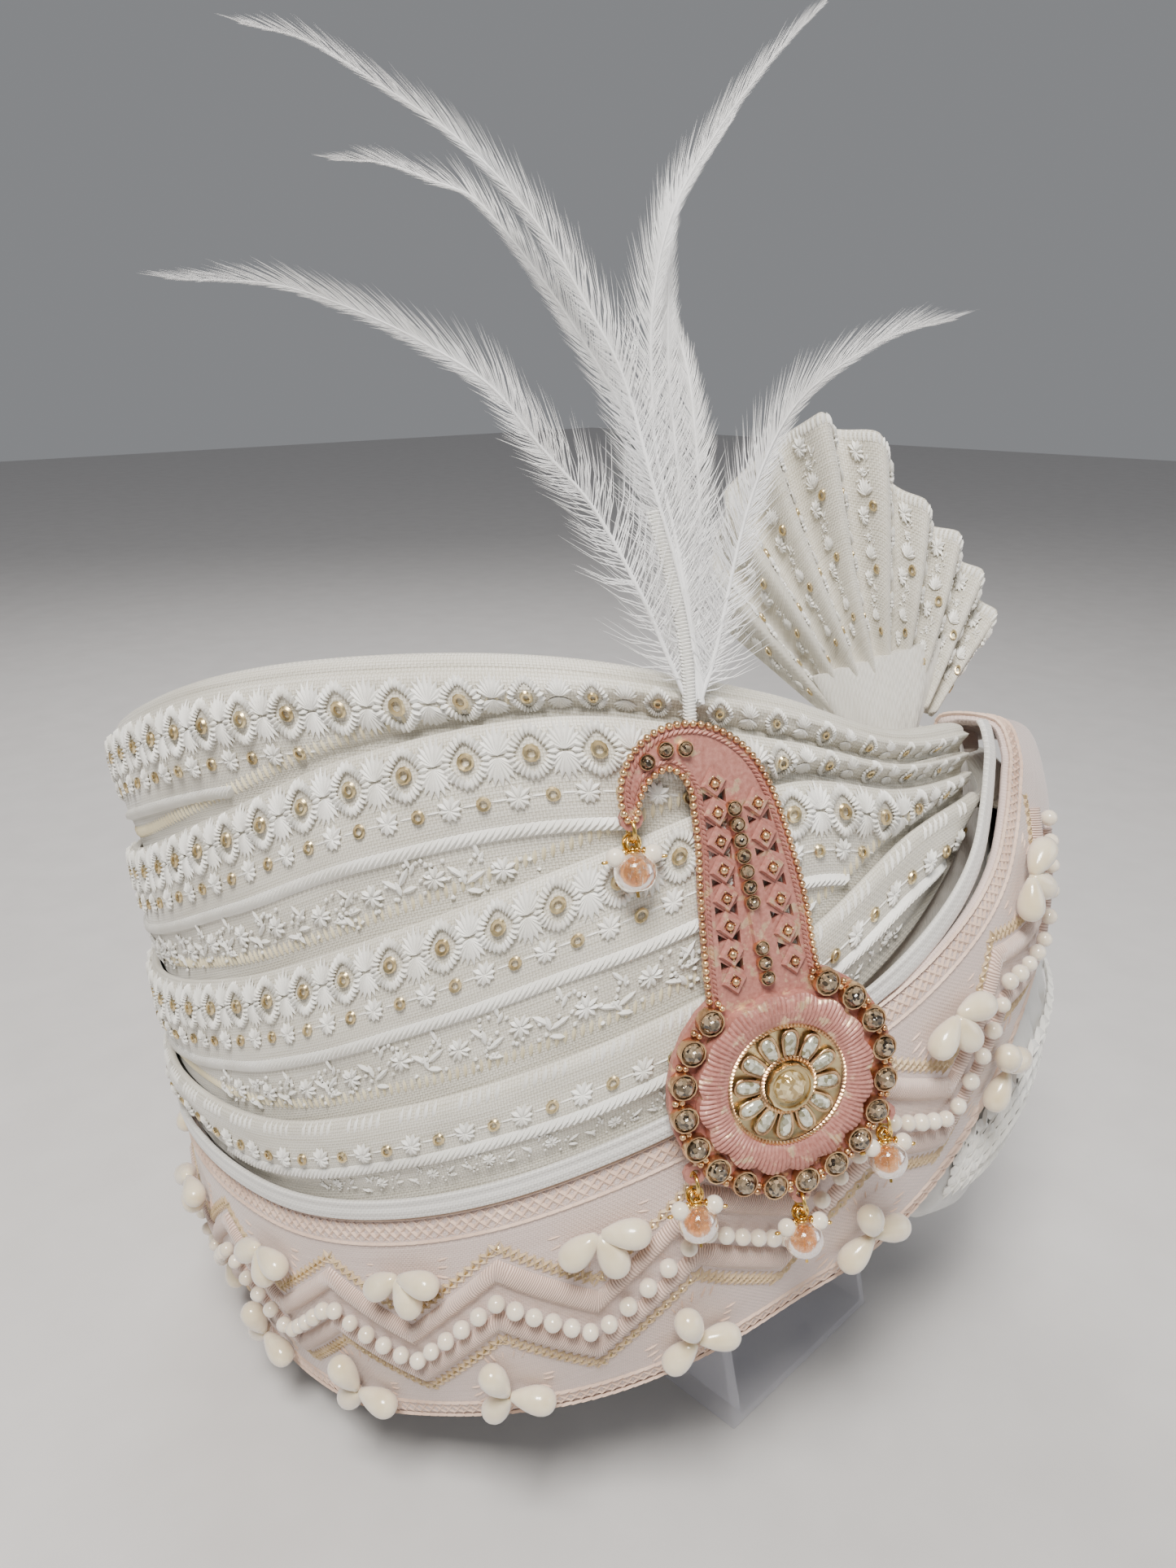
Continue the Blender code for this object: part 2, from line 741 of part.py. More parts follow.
def drop_pearl(direction):
    """A ten-sided teardrop lying flat, its tip at the origin, bulb towards a direction in degrees."""
    radius = 0.5 * DROP_PEARL_WIDTH
    rings = []
    for along, width in ((0.42, 0.62), (0.74, 1.0)):
        ring = []
        for i in range(10):
            turn = 2 * math.pi * i / 10
            out = width * radius
            ring.append(Vector((along * DROP_PEARL_LENGTH, out * math.cos(turn), out * math.sin(turn))))
        rings.append(ring)
    mesh = loft("drop_pearl", rings, Vector((0.0, 0.0, 0.0)), Vector((DROP_PEARL_LENGTH, 0.0, 0.0)))
    start = Matrix.Translation((0.0006, 0.0, 0.0))
    mesh.transform(Matrix.Rotation(math.radians(direction), 4, "Z") @ start)
    return mesh


def cluster_mesh(directions):
    """Three teardrops that meet at their tips."""
    knot = bmesh.new()
    bmesh.ops.create_cube(knot, size=0.0020)
    return combined(mesh_from(knot, "pearl_cluster"), [drop_pearl(d) for d in directions], "UNION")


def pearl_clusters():
    """Clusters above each valley and below each peak of the string, on the side the brooch is on."""
    upper = cluster_mesh((205, 270, 335))
    lower = cluster_mesh((90, 210, 330))
    number = 0
    for half in CLUSTER_HALVES:
        above = half % 2 != 0
        step = step_at(half * 0.5 * STRING_PERIOD)
        place = border_seat(step, 0.20 if above else 0.80, CLUSTER_GAP + 0.5 * DROP_PEARL_WIDTH)
        number += 1
        piece(f"pearl_drops_{number:02d}", upper if above else lower, "pearl", TURBAN_SEAT, place)


def side_roll():
    """The padded roll under the sash: it rests on the wall below and on the last lap above."""
    rings = []
    for angle in ROLL.keys:
        key = max(angle, -80)
        rim, top = edge(key, "rim"), edge(key, "border")
        low = rim + ROLL.at(angle, "low") * (top - rim)
        high = rim + ROLL.at(angle, "high") * (top - rim)
        swell = ROLL.at(angle, "swell") * ROLL_SWELL
        foot = BORDER_LIFT + 0.0001
        if angle > -30:
            foot += BORDER_CLOTH + BORDER_CREST + 3 * FACE_GAP
        over_lap = high > top
        ledge = LAP_RISE * LAP_PROFILE.at(0.0, "lift") + CLOTH + 2 * FACE_GAP if over_lap else foot
        step_low = top if over_lap else low + 0.6 * (high - low)
        step_high = top + 0.0025 if over_lap else low + 0.7 * (high - low)
        front = ((0.0, 0.0), (0.06, 0.55), (0.25, 0.92), (0.5, 1.0), (0.76, 0.90), (0.95, 0.66))
        ring = [oval(angle, low + up * (high - low), foot + out * swell) for up, out in front]
        ring.append(oval(angle, high, max(ledge + 0.0004, foot + 0.35 * swell)))
        ring.append(oval(angle, high - 0.0006, ledge))
        ring.append(oval(angle, step_high, ledge))
        ring.append(oval(angle, step_low, foot))
        rings.append(ring)
    piece("side_roll", loft("side_roll", rings, ends=True), "ivory_silk", TURBAN_SEAT)


def turra_fan():
    """The pleated fan, standing in the well behind the front wall, with its bound root."""
    root = oval(FAN_ANGLE, CAP_HEIGHT - FAN_ROOT_DROP, -FAN_INSET)
    facing = math.radians(FAN_FACING)
    normal = Vector((math.cos(facing), math.sin(facing), 0.0))
    across = Vector((0, 0, 1)).cross(normal)
    first, last = FAN_EDGE.keys[0], FAN_EDGE.keys[-1]
    count = 2 * FAN_PLEATS
    start = FAN_LEAF_START

    def place(column, row):
        angle = last + (first - last) * column / count
        share = start + row * (FAN_EDGE.at(angle, "reach") - start)
        reach = FAN_REACH * share
        fold = FAN_FOLD * share * (1 if column % 2 else -1)
        turn = math.radians(angle)
        spread = across * (reach * math.cos(turn)) + Vector((0, 0, reach * math.sin(turn)))
        return root + spread + normal * fold

    rows = (1.0, 0.66, 0.33, 0.0)
    leaf = draped("fan_leaf", range(count + 1), rows, place, FAN_CLOTH, "ivory_silk", None)
    bpy.context.view_layer.update()
    graph = bpy.context.evaluated_depsgraph_get()
    leaf_mesh = bpy.data.meshes.new_from_object(leaf.evaluated_get(graph))
    leaf_mesh.materials.clear()
    bpy.data.objects.remove(leaf, do_unlink=True)
    rings = []
    for up, wide, deep in FAN_SHEATH.rows:
        ring = []
        for i in range(10):
            turn = 2 * math.pi * i / 10
            flat = across * (wide * math.cos(turn)) + normal * (deep * math.sin(turn))
            ring.append(root + Vector((0, 0, up * FAN_SHEATH_HEIGHT)) + flat * FAN_ROOT_RADIUS)
        rings.append(ring)
    root_mesh = loft("fan_root", rings, ends=True)
    piece("turra_fan", combined(root_mesh, [leaf_mesh], "UNION"), "ivory_silk", TURBAN_SEAT)


def brooch_frame_matrix():
    """The brooch's plane on the cloth: across, up and out, with the medallion's middle as origin."""
    low = oval(245, BROOCH_MIDDLE_HEIGHT, BROOCH_LIFT)
    high = oval(242, BROOCH_TOP_HEIGHT, BROOCH_LIFT)
    up = (high - low).normalized()
    facing = math.radians(243)
    out = Vector((math.cos(facing), math.sin(facing), 0.0))
    out = (out - up * out.dot(up)).normalized()
    across = up.cross(out)
    matrix = Matrix((across, up, out)).transposed().to_4x4()
    matrix.translation = low + across * BROOCH_SIDESTEP
    return matrix


BROOCH_PLANE = brooch_frame_matrix()
BROOCH_SEAT = bpy.data.objects.new("brooch_seat", None)
BROOCH_SEAT.parent = TURBAN_SEAT
BROOCH_SEAT.matrix_local = BROOCH_PLANE
PARTS.objects.link(BROOCH_SEAT)


def disc(radius, low, high, sides, top_radius=None):
    """A round blank between two heights, for the brooch's plane."""
    bm = bmesh.new()
    bmesh.ops.create_cone(
        bm,
        cap_ends=True,
        segments=sides,
        radius1=radius,
        radius2=radius if top_radius is None else top_radius,
        depth=high - low,
        matrix=Matrix.Translation((0, 0, 0.5 * (low + high))),
    )
    return mesh_from(bm, "disc")


def joined(meshes):
    """Several closed shapes that don't touch, as one mesh."""
    bm = bmesh.new()
    for mesh in meshes:
        bm.from_mesh(mesh)
    return mesh_from(bm, "joined")


def neck_outline():
    """Both edges of the neck, offset from its middle line."""
    rows = [tuple(value * NECK_HEIGHT for value in row[1:]) for row in NECK.rows]
    left, right = [], []
    for i, (across, up, half) in enumerate(rows):
        before, after = rows[max(i - 1, 0)], rows[min(i + 1, len(rows) - 1)]
        along = Vector((after[0] - before[0], after[1] - before[1])).normalized()
        side = Vector((along.y, -along.x)) * half
        right.append(Vector((across, up)) + side)
        left.append(Vector((across, up)) - side)
    return right + left[::-1]


def stud_places():
    places = []
    for foot_x, top_x, foot_y, top_y, count in STUD_COLUMNS:
        column = []
        for i in range(count):
            share = i / (count - 1)
            x = foot_x + share * (top_x - foot_x)
            y = foot_y + share * (top_y - foot_y)
            column.append(Vector((x, y)) * NECK_HEIGHT)
        places.append(column)
    return places


def pierced_holes():
    """Small triangles either side of where two studs of a column meet."""
    holes = []
    for column in stud_places():
        for low, high in zip(column, column[1:]):
            along = (high - low).normalized()
            side = Vector((along.y, -along.x))
            middle = 0.5 * (low + high)
            for sign in (1, -1):
                point = middle + side * (0.12 * STUD_WIDTH * sign)
                base = middle + side * (0.50 * STUD_WIDTH * sign)
                half = along * (0.30 * STUD_WIDTH)
                holes.append([point, base + half, base - half])
    return holes


def flat_plate(outline, holes, thickness):
    """A pierced plate from a flat curve, its back at height 0."""
    curve = bpy.data.curves.new("plate", "CURVE")
    curve.dimensions = "2D"
    curve.fill_mode = "BOTH"
    curve.extrude = 0.5 * thickness
    for points in [outline, *holes]:
        spline = curve.splines.new("POLY")
        spline.points.add(len(points) - 1)
        for target, point in zip(spline.points, points):
            target.co = (point.x, point.y, 0.0, 1.0)
        spline.use_cyclic_u = True
    mesh = helper_curve(curve)
    mesh.transform(Matrix.Translation((0, 0, 0.5 * thickness)))
    return mesh


def eye_mesh(centre, hole):
    """A round hole's cutter for a jump ring."""
    cutter = disc(hole, -0.002, 0.006, 8)
    cutter.transform(Matrix.Translation((centre.x, centre.y, 0.0)))
    return cutter


def drop_places():
    """Each drop's eye on the plate, in the brooch's plane."""
    places = {"drop_1": Vector(HOOK_DROP) * NECK_HEIGHT}
    for name, angle in MEDALLION_DROPS.items():
        turn = math.radians(angle)
        places[name] = Vector((math.cos(turn), math.sin(turn))) * (MEDALLION_RADIUS + EYE_OUTSET)
    return places


def rosette_ring():
    """The fluted, scalloped ring of the medallion, with its step inwards."""
    scallops = 12
    count = 2 * scallops
    inner = GOLD_DISC_RADIUS + FACE_GAP
    profile = (
        (inner, 0.0, 0.0),
        (inner, 0.70, 0.0),
        (0.84 * ROSETTE_RADIUS, 1.00, 0.0),
        (0.97 * ROSETTE_RADIUS, 0.75, 1.0),
        (0.98 * ROSETTE_RADIUS, 0.0, 1.0),
    )
    rings = []
    base = 0.5 * BROOCH_PLATE
    for radius, up, wave in profile:
        ring = []
        for i in range(count):
            turn = 2 * math.pi * i / count
            out = radius + wave * 0.03 * ROSETTE_RADIUS * (1 if i % 2 else -1)
            height = base + (0.5 * BROOCH_PLATE + up * ROSETTE_HEIGHT if up else 0.0)
            ring.append(Vector((out * math.cos(turn), out * math.sin(turn), height)))
        rings.append(ring)
    rings.append(rings[0])
    bm = bmesh.new()
    loops = [[bm.verts.new(point) for point in ring] for ring in rings[:-1]]
    loops.append(loops[0])
    for lower, upper in zip(loops, loops[1:]):
        for i in range(count):
            j = (i + 1) % count
            bm.faces.new((lower[i], lower[j], upper[j], upper[i]))
    return mesh_from(bm, "rosette_ring")


def brooch_frame():
    """Plate, medallion back, rosette, studs and spine, soldered into one."""
    plate = flat_plate(neck_outline(), pierced_holes(), BROOCH_PLATE)
    studs = []
    for column in stud_places():
        for place in column:
            stud = disc(0.5 * STUD_WIDTH, 0.5 * BROOCH_PLATE, BROOCH_PLATE + STUD_HEIGHT, 4, 0.0)
            stud.transform(Matrix.Translation((place.x, place.y, 0.0)))
            studs.append(stud)
    foot, top, low, high = (value * NECK_HEIGHT for value in SPINE)
    spine = tube_mesh(
        "spine",
        [Vector((foot, low, BROOCH_PLATE)), Vector((top, high, BROOCH_PLATE))],
        0.5 * SPINE_WIDTH,
    )
    backing = disc(MEDALLION_RADIUS, 0.0, BROOCH_PLATE - 0.0001, 30)
    fused = combined(plate, [backing, joined(studs), spine, rosette_ring()], "UNION")
    tab = 1.9 * EYE_HOLE
    tabs = []
    for centre in drop_places().values():
        ear = disc(tab, 0.0001, BROOCH_PLATE - 0.0002, 10)
        ear.transform(Matrix.Translation((centre.x, centre.y, 0.0)))
        tabs.append(ear)
    eared = combined(fused, [joined(tabs)], "UNION")
    eyes = joined([eye_mesh(centre, EYE_HOLE) for centre in drop_places().values()])
    piece("brooch_frame", combined(eared, [eyes], "DIFFERENCE"), "rose_enamel", BROOCH_SEAT)


def stone(radius, low, high, sides=8, stretch=1.0, table=0.55):
    """A cut stone: eight facets slanting up to its table."""
    rings = []
    for width, height in ((1.0, 0.0), (table, 1.0)):
        ring = []
        for i in range(sides):
            turn = 2 * math.pi * (i + 0.5) / sides
            out = radius * width
            level = low + height * (high - low)
            ring.append(Vector((out * stretch * math.cos(turn), out * math.sin(turn), level)))
        rings.append(ring)
    return loft("stone", rings, ends=True)


def stone_border():
    """The open ring of round stones in their setting, from one side of the neck to the other."""
    inner = 1.03 * ROSETTE_RADIUS + FACE_GAP
    outer = MEDALLION_RADIUS - 0.0004
    low = BROOCH_PLATE + FACE_GAP
    top = low + STONE_CUP_HEIGHT
    first, last = 90 + BORDER_OPENING, 450 - BORDER_OPENING
    pitch = (last - first) / BORDER_STONES
    corners = ((inner, low), (outer, low), (outer, top), (inner, top))
    sections = []
    for i in range(BORDER_STONES + 1):
        turn = math.radians(first + pitch * i)
        spot = Vector((math.cos(turn), math.sin(turn), 0.0))
        sections.append([spot * reach + Vector((0, 0, level)) for reach, level in corners])
    radius = 0.5 * (inner + outer)
    stones = []
    for i in range(BORDER_STONES):
        turn = math.radians(first + pitch * (i + 0.5))
        cut = stone(BORDER_STONE_RADIUS, low + 0.5 * STONE_CUP_HEIGHT, top + STONE_RISE)
        cut.transform(Matrix.Translation((radius * math.cos(turn), radius * math.sin(turn), 0.0)))
        stones.append(cut)
    setting = loft("setting", sections, ends=True)
    piece("stone_border", combined(setting, [joined(stones)], "UNION"), "smoky_stone", BROOCH_SEAT)


def petal_stones():
    """Twelve long stones set round the gold disc inside the rosette."""
    low = BROOCH_PLATE + 0.0002
    base = disc(GOLD_DISC_RADIUS - 0.0001, low, low + GOLD_DISC_HEIGHT, 18)
    stones = []
    for i in range(PETALS):
        turn = 2 * math.pi * i / PETALS
        top = low + GOLD_DISC_HEIGHT + PETAL_RISE
        cut = stone(PETAL_HALF_WIDTH, low + 0.5 * GOLD_DISC_HEIGHT, top, stretch=PETAL_STRETCH)
        place = Matrix.Rotation(turn, 4, "Z") @ Matrix.Translation((PETAL_PLACE, 0.0, 0.0))
        cut.transform(place)
        stones.append(cut)
    piece("petal_stones", combined(base, [joined(stones)], "UNION"), "clear_stone", BROOCH_SEAT)


def centre_stone():
    """The round stone in its collet, in the middle of the petals."""
    low = BROOCH_PLATE + 0.0002 + GOLD_DISC_HEIGHT + FACE_GAP
    profile = (
        (1.0, 0.0),
        (1.0, 0.40),
        (0.90, 0.56),
        (0.80, 0.50),
        (0.46, 1.0),
    )
    rings = []
    for width, up in profile:
        ring = []
        for i in range(12):
            turn = 2 * math.pi * i / 12
            out = width * CENTRE_RADIUS
            ring.append(Vector((out * math.cos(turn), out * math.sin(turn), low + up * CENTRE_HEIGHT)))
        rings.append(ring)
    piece("centre_stone", loft("centre_stone", rings, ends=True), "clear_stone", BROOCH_SEAT)


def ring_points(centre, first, second, radius, count):
    points = []
    for i in range(count):
        turn = 2 * math.pi * i / count
        points.append(centre + (first * math.cos(turn) + second * math.sin(turn)) * radius)
    return points


def ball(radius, sides, rows):
    bm = bmesh.new()
    bmesh.ops.create_uvsphere(bm, u_segments=sides, v_segments=rows, radius=radius)
    return mesh_from(bm, "ball")


def drops():
    """Each drop: a jump ring through the plate's eye, and an amber bead with two small pearls on it."""
    plumb = (SEAT_MATRIX.to_3x3() @ BROOCH_PLANE.to_3x3()).inverted() @ Vector((0, 0, -1))
    down = Vector((plumb.x, plumb.y, 0.0)).normalized()
    hang = (down + Vector((0, 0, 0.30))).normalized()
    out = Vector((0, 0, 1))
    side = hang.cross(out).normalized()
    forward = side.cross(hang)
    for name, place in drop_places().items():
        eye = Vector((place.x, place.y, 0.5 * BROOCH_PLATE))
        ring_middle = eye + down * RING_RADIUS
        route = ring_points(ring_middle, down, out, RING_RADIUS, 8)
        ring = tube_mesh(f"{name}_ring", route, RING_WIRE, 1, True)
        piece(f"{name}_ring", ring, "gold", BROOCH_SEAT)
        loop_middle = ring_middle + down * (RING_RADIUS + LOOP_RADIUS - 2 * RING_WIRE - 2 * FACE_GAP)
        loop = tube_mesh("loop", ring_points(loop_middle, hang, side, LOOP_RADIUS, 8), RING_WIRE, 1, True)
        bead_middle = loop_middle + hang * (LOOP_RADIUS + AMBER_RADIUS - BEAD_SINK)
        bead = ball(AMBER_RADIUS, 10, 6)
        bead.transform(Matrix.Translation(bead_middle))
        others = [loop]
        for sign in (-1, 1):
            beside = side * (sign * PEARL_SPREAD)
            pearl_middle = loop_middle + hang * PEARL_DROP + beside + forward * PEARL_LEAN
            small = ball(SMALL_PEARL, 10, 3)
            small.transform(Matrix.Translation(pearl_middle))
            others.append(small)
        piece(f"{name}_bead", combined(bead, others, "UNION"), "amber", BROOCH_SEAT)


def feather_mesh(name, foot, spec):
    """One flat tapering blade along its spine, in the brooch's plane."""
    points = []
    spine = spec["spine"]
    for i, (across, up) in enumerate(spine):
        share = i / (len(spine) - 1)
        lean = spec["lean"] * share * share
        points.append(foot + Vector((across, up, lean)) * PLUME_HEIGHT)
    rings = []
    for i, point in enumerate(points):
        share = i / (len(points) - 1)
        half = 0.5 * spec["width"] * PLUME_HEIGHT * FEATHER_WIDTHS.at(share, "width")
        before, after = points[max(i - 1, 0)], points[min(i + 1, len(points) - 1)]
        along = (after - before).normalized()
        side = along.cross(Vector((0, 0, 1))).normalized()
        out = side.cross(along).normalized() * (0.5 * FEATHER_THICKNESS)
        rings.append([point + side * half, point + out, point - side * half, point - out])
    return loft(name, rings, ends=True)


def plume():
    """The feathers, fused to the thread-wrapped wire that stands on the brooch's crook."""
    foot = Vector((*PLUME_FOOT, 0.0)) * NECK_HEIGHT + Vector((0, 0, 0.5 * BROOCH_PLATE))
    route = [foot + Vector((across, up, 0.0)) * PLUME_HEIGHT for across, up in WIRE_ROUTE]
    wire = tube_mesh("wire", route, WIRE_RADIUS, 1)
    blades = [feather_mesh(name, foot, spec) for name, spec in FEATHERS.items()]
    piece("plume", combined(wire, blades, "UNION"), "feather", BROOCH_SEAT)


def display_stand():
    """The riser: a clear tube of four sheets, its top slanted to meet the cap's underside."""
    corners = [Vector((x, y, cap_plane(x, y) - SHELL_WALL)) for x, y in ((0, 0), (0.04, 0), (0, 0.04))]
    a, b, c = (SEAT_MATRIX @ corner for corner in corners)
    normal = (b - a).cross(c - a).normalized()

    def ceiling(x, y):
        return a.z - (normal.x * (x - a.x) + normal.y * (y - a.y)) / normal.z - FACE_GAP / normal.z

    def block(half_width, front, back, top_front, low, drop):
        bm = bmesh.new()
        bmesh.ops.create_cube(bm, size=2.0)
        for vert in bm.verts:
            x = half_width if vert.co.x > 0 else -half_width
            if vert.co.z < 0:
                y = back if vert.co.y > 0 else front
                vert.co = (x, y, low)
            else:
                y = back if vert.co.y > 0 else top_front
                vert.co = (x, y, ceiling(x, y) - drop)
        return mesh_from(bm, "block")

    half = 0.5 * STAND_WIDTH
    front, back = -0.5 * STAND_DEPTH, 0.5 * STAND_DEPTH
    outer = block(half, front, back, front + STAND_SETBACK, 0.0, 0.0)
    past = 0.01
    inner = block(half - ACRYLIC, front - past, back + past, front - past, ACRYLIC, ACRYLIC / normal.z)
    piece("display_stand", combined(outer, [inner], "DIFFERENCE"), "acrylic")


display_stand()
crown_shell()
wraps()
border_band()
ribbon_piping()
pearl_string()
pearl_clusters()
side_roll()
turra_fan()
brooch_frame()
stone_border()
petal_stones()
centre_stone()
drops()
plume()
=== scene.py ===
"""The looks of a groom's tied turban with its plume and brooch, on a clear riser.

Metres, +Z up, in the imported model's own frame. The cloth is read as faces that follow the
wound laps, the border and the fan, and embroidery, pearls and stitches are laid on those faces.
"""

import math

import bpy
import numpy as np
from mathutils import Euler, Matrix, Vector


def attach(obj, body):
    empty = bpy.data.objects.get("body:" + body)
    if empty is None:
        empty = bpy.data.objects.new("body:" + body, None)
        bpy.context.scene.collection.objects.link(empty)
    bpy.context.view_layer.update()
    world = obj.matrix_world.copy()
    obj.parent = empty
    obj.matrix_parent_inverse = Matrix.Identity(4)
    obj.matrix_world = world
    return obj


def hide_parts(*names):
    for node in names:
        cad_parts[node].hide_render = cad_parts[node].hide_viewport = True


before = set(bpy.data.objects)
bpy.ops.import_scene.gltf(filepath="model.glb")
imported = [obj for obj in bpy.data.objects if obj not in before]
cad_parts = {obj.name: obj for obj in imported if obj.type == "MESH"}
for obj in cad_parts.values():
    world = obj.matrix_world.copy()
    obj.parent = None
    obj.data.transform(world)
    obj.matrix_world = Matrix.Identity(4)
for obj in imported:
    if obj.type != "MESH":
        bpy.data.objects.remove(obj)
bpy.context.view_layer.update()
DICE = np.random.default_rng(7)

# The turban's own sizes
RIM_HALF_WIDTH = 0.092
RIM_HALF_LENGTH = 0.097
OVAL_POWER = 2.15
WALL_HEIGHT = 0.163
SHELL_WALL = 0.0025
SHELL_TOP_DROP = 0.0012
CLOTH = 0.0022
LAP_RISE = 0.005
LAP_TUCK = 0.003
LAP_BEND = 0.0008
LAP_STEEPEST = 1.0
LINING_GAP = 0.0005
FACE_GAP = 0.0003
CAP_HEIGHT = 0.1125
CAP_SLOPE_X = -0.19
CAP_SLOPE_Y = -0.06
CAP_SHOULDER_DROP = 0.007
CAP_EDGE_DROP = 0.030

# The border, its ribbon and its pearls
BORDER_CLOTH = 0.0025
BORDER_CREST = 0.0009
BORDER_LIFT = LINING_GAP + 0.0003
RIBBON_WIDTH = 0.0046
RIBBON_CLOTH = 0.0016
RIBBON_LIFT = 0.0034
STRING_PEARL = 0.0036
STRING_PERIOD = 0.0402
STRING_PEAK = 0.37
STRING_VALLEY = 0.61
PEARL_ANCHOR_STEP = 20.08
DROP_PEARL_LENGTH = 0.0094
DROP_PEARL_WIDTH = 0.0058
HALF_BEHIND_MEDALLION = 3

# The roll, the fan and the plume
ROLL_SWELL = 0.0125
FAN_REACH = 0.0785
FAN_CLOTH = 0.0013
FAN_PLEATS = 9
FAN_FOLD = 0.0048
FAN_ANGLE = 284
FAN_FACING = 240
FAN_ROOT_DROP = 0.0085
FAN_INSET = 0.015
FAN_LEAF_START = 0.20

# The brooch
BROOCH_MIDDLE_HEIGHT = 0.072
BROOCH_TOP_HEIGHT = 0.138
BROOCH_SIDESTEP = 0.0007
BROOCH_LIFT = 0.0066
BROOCH_PLATE = 0.0016
NECK_HEIGHT = 0.069
MEDALLION_RADIUS = 0.0222
ROSETTE_RADIUS = 0.0168
GOLD_DISC_RADIUS = 0.0112
BORDER_STONES = 17
BORDER_OPENING = 26
PETALS = 12
STUD_WIDTH = 0.0042
RING_RADIUS = 0.0020
RING_WIRE = 0.00036
LOOP_RADIUS = 0.0015
AMBER_RADIUS = 0.0037
SMALL_PEARL = 0.0017
EYE_OUTSET = 0.0011

# The riser
STAND_WIDTH = 0.059
STAND_DEPTH = 0.124
STAND_SETBACK = 0.036
ACRYLIC = 0.003


class Chart:
    """Rows with named columns, read smoothly by the first column, for one key or for many."""

    def __init__(self, columns, *rows):
        self.columns = columns
        self.table = np.array(rows, float)
        self.keys = self.table[:, 0]

    def at(self, key, column):
        """Smooth values of one column at keys between the first and the last row."""
        keys, values = self.keys, self.table[:, self.columns.index(column)]
        slopes = np.empty(len(keys))
        slopes[1:-1] = (values[2:] - values[:-2]) / (keys[2:] - keys[:-2])
        slopes[0] = (values[1] - values[0]) / (keys[1] - keys[0])
        slopes[-1] = (values[-1] - values[-2]) / (keys[-1] - keys[-2])
        key = np.clip(np.asarray(key, float), keys[0], keys[-1])
        low = np.clip(np.searchsorted(keys, key, side="right") - 1, 0, len(keys) - 2)
        span = keys[low + 1] - keys[low]
        t = (key - keys[low]) / span
        a, b = values[low], values[low + 1]
        p, q = slopes[low] * span, slopes[low + 1] * span
        return a + p * t + (3 * (b - a) - 2 * p - q) * t**2 + (2 * (a - b) + p + q) * t**3


SECTIONS = Chart(
    ("height", "width", "length", "shift"),
    (0.00, 1.000, 1.000, 0.000),
    (0.18, 1.080, 1.080, 0.043),
    (0.40, 1.120, 1.120, 0.109),
    (0.67, 1.100, 1.100, 0.157),
    (0.83, 1.082, 1.082, 0.178),
    (1.00, 1.055, 1.055, 0.195),
)
EDGES = Chart(
    ("angle", "rim", "border", "lap_4", "lap_3", "lap_2", "top"),
    (-80, -0.010, 0.205, 0.300, 0.400, 0.500, 0.590),
    (-60, -0.006, 0.215, 0.300, 0.390, 0.475, 0.560),
    (-30, -0.010, 0.240, 0.310, 0.385, 0.465, 0.546),
    (0, -0.020, 0.270, 0.335, 0.410, 0.490, 0.562),
    (45, -0.034, 0.295, 0.380, 0.475, 0.560, 0.640),
    (90, -0.040, 0.314, 0.420, 0.525, 0.640, 0.748),
    (135, -0.042, 0.337, 0.450, 0.580, 0.738, 0.880),
    (165, -0.040, 0.346, 0.458, 0.606, 0.790, 0.955),
    (190, -0.034, 0.331, 0.463, 0.654, 0.857, 0.996),
    (210, 0.000, 0.352, 0.503, 0.708, 0.908, 0.992),
    (230, 0.024, 0.397, 0.545, 0.750, 0.902, 0.945),
    (250, 0.055, 0.445, 0.588, 0.762, 0.810, 0.846),
    (265, 0.068, 0.490, 0.636, 0.694, 0.724, 0.752),
    (280, 0.060, 0.560, 0.630, 0.655, 0.680, 0.705),
)
LAP_PROFILE = Chart(("down", "lift"), (0.00, 0.72), (0.25, 0.74), (0.55, 0.62), (1.00, 0.10))
SASH_ROWS = (
    (258.0, 0.463, 262.0, 0.066, 0.50),
    (265.0, 0.488, 272.0, 0.098, 1.00),
    (271.0, 0.521, 280.0, 0.172, 1.45),
    (275.0, 0.558, 287.5, 0.258, 1.70),
    (277.5, 0.601, 294.5, 0.340, 1.80),
    (279.5, 0.645, 301.0, 0.412, 1.80),
    (280.5, 0.680, 307.0, 0.486, 1.75),
    (281.5, 0.715, 312.0, 0.580, 1.05),
    (282.5, 0.720, 314.0, 0.590, -1.30),
    (283.5, 0.672, 315.0, 0.556, -1.55),
)
ROLL = Chart(
    ("angle", "low", "high", "swell"),
    (-84, 0.10, 0.45, 0.30),
    (-78, -0.08, 0.90, 0.95),
    (-72, -0.20, 1.22, 1.25),
    (-60, -0.24, 1.36, 1.55),
    (-48, -0.20, 1.36, 1.55),
    (-36, -0.06, 1.22, 1.20),
    (-24, 0.20, 0.92, 0.65),
    (-18, 0.34, 0.86, 0.38),
    (-12, 0.45, 0.78, 0.20),
)
FAN_EDGE = Chart(
    ("angle", "reach"),
    (40, 0.48),
    (52, 0.58),
    (66, 0.69),
    (75, 0.76),
    (82, 0.90),
    (91, 1.00),
    (101, 0.975),
    (111, 0.91),
    (126, 0.68),
)
NECK = Chart(
    ("step", "across", "up", "half_width"),
    (0, 0.000, 0.200, 0.160),
    (1, 0.003, 0.320, 0.152),
    (2, 0.014, 0.450, 0.146),
    (3, 0.020, 0.560, 0.136),
    (4, 0.024, 0.670, 0.121),
    (5, 0.020, 0.770, 0.108),
    (6, 0.004, 0.850, 0.092),
    (7, -0.040, 0.915, 0.074),
    (8, -0.100, 0.948, 0.056),
    (9, -0.160, 0.942, 0.045),
    (10, -0.210, 0.905, 0.035),
    (11, -0.236, 0.855, 0.026),
    (12, -0.243, 0.805, 0.016),
)
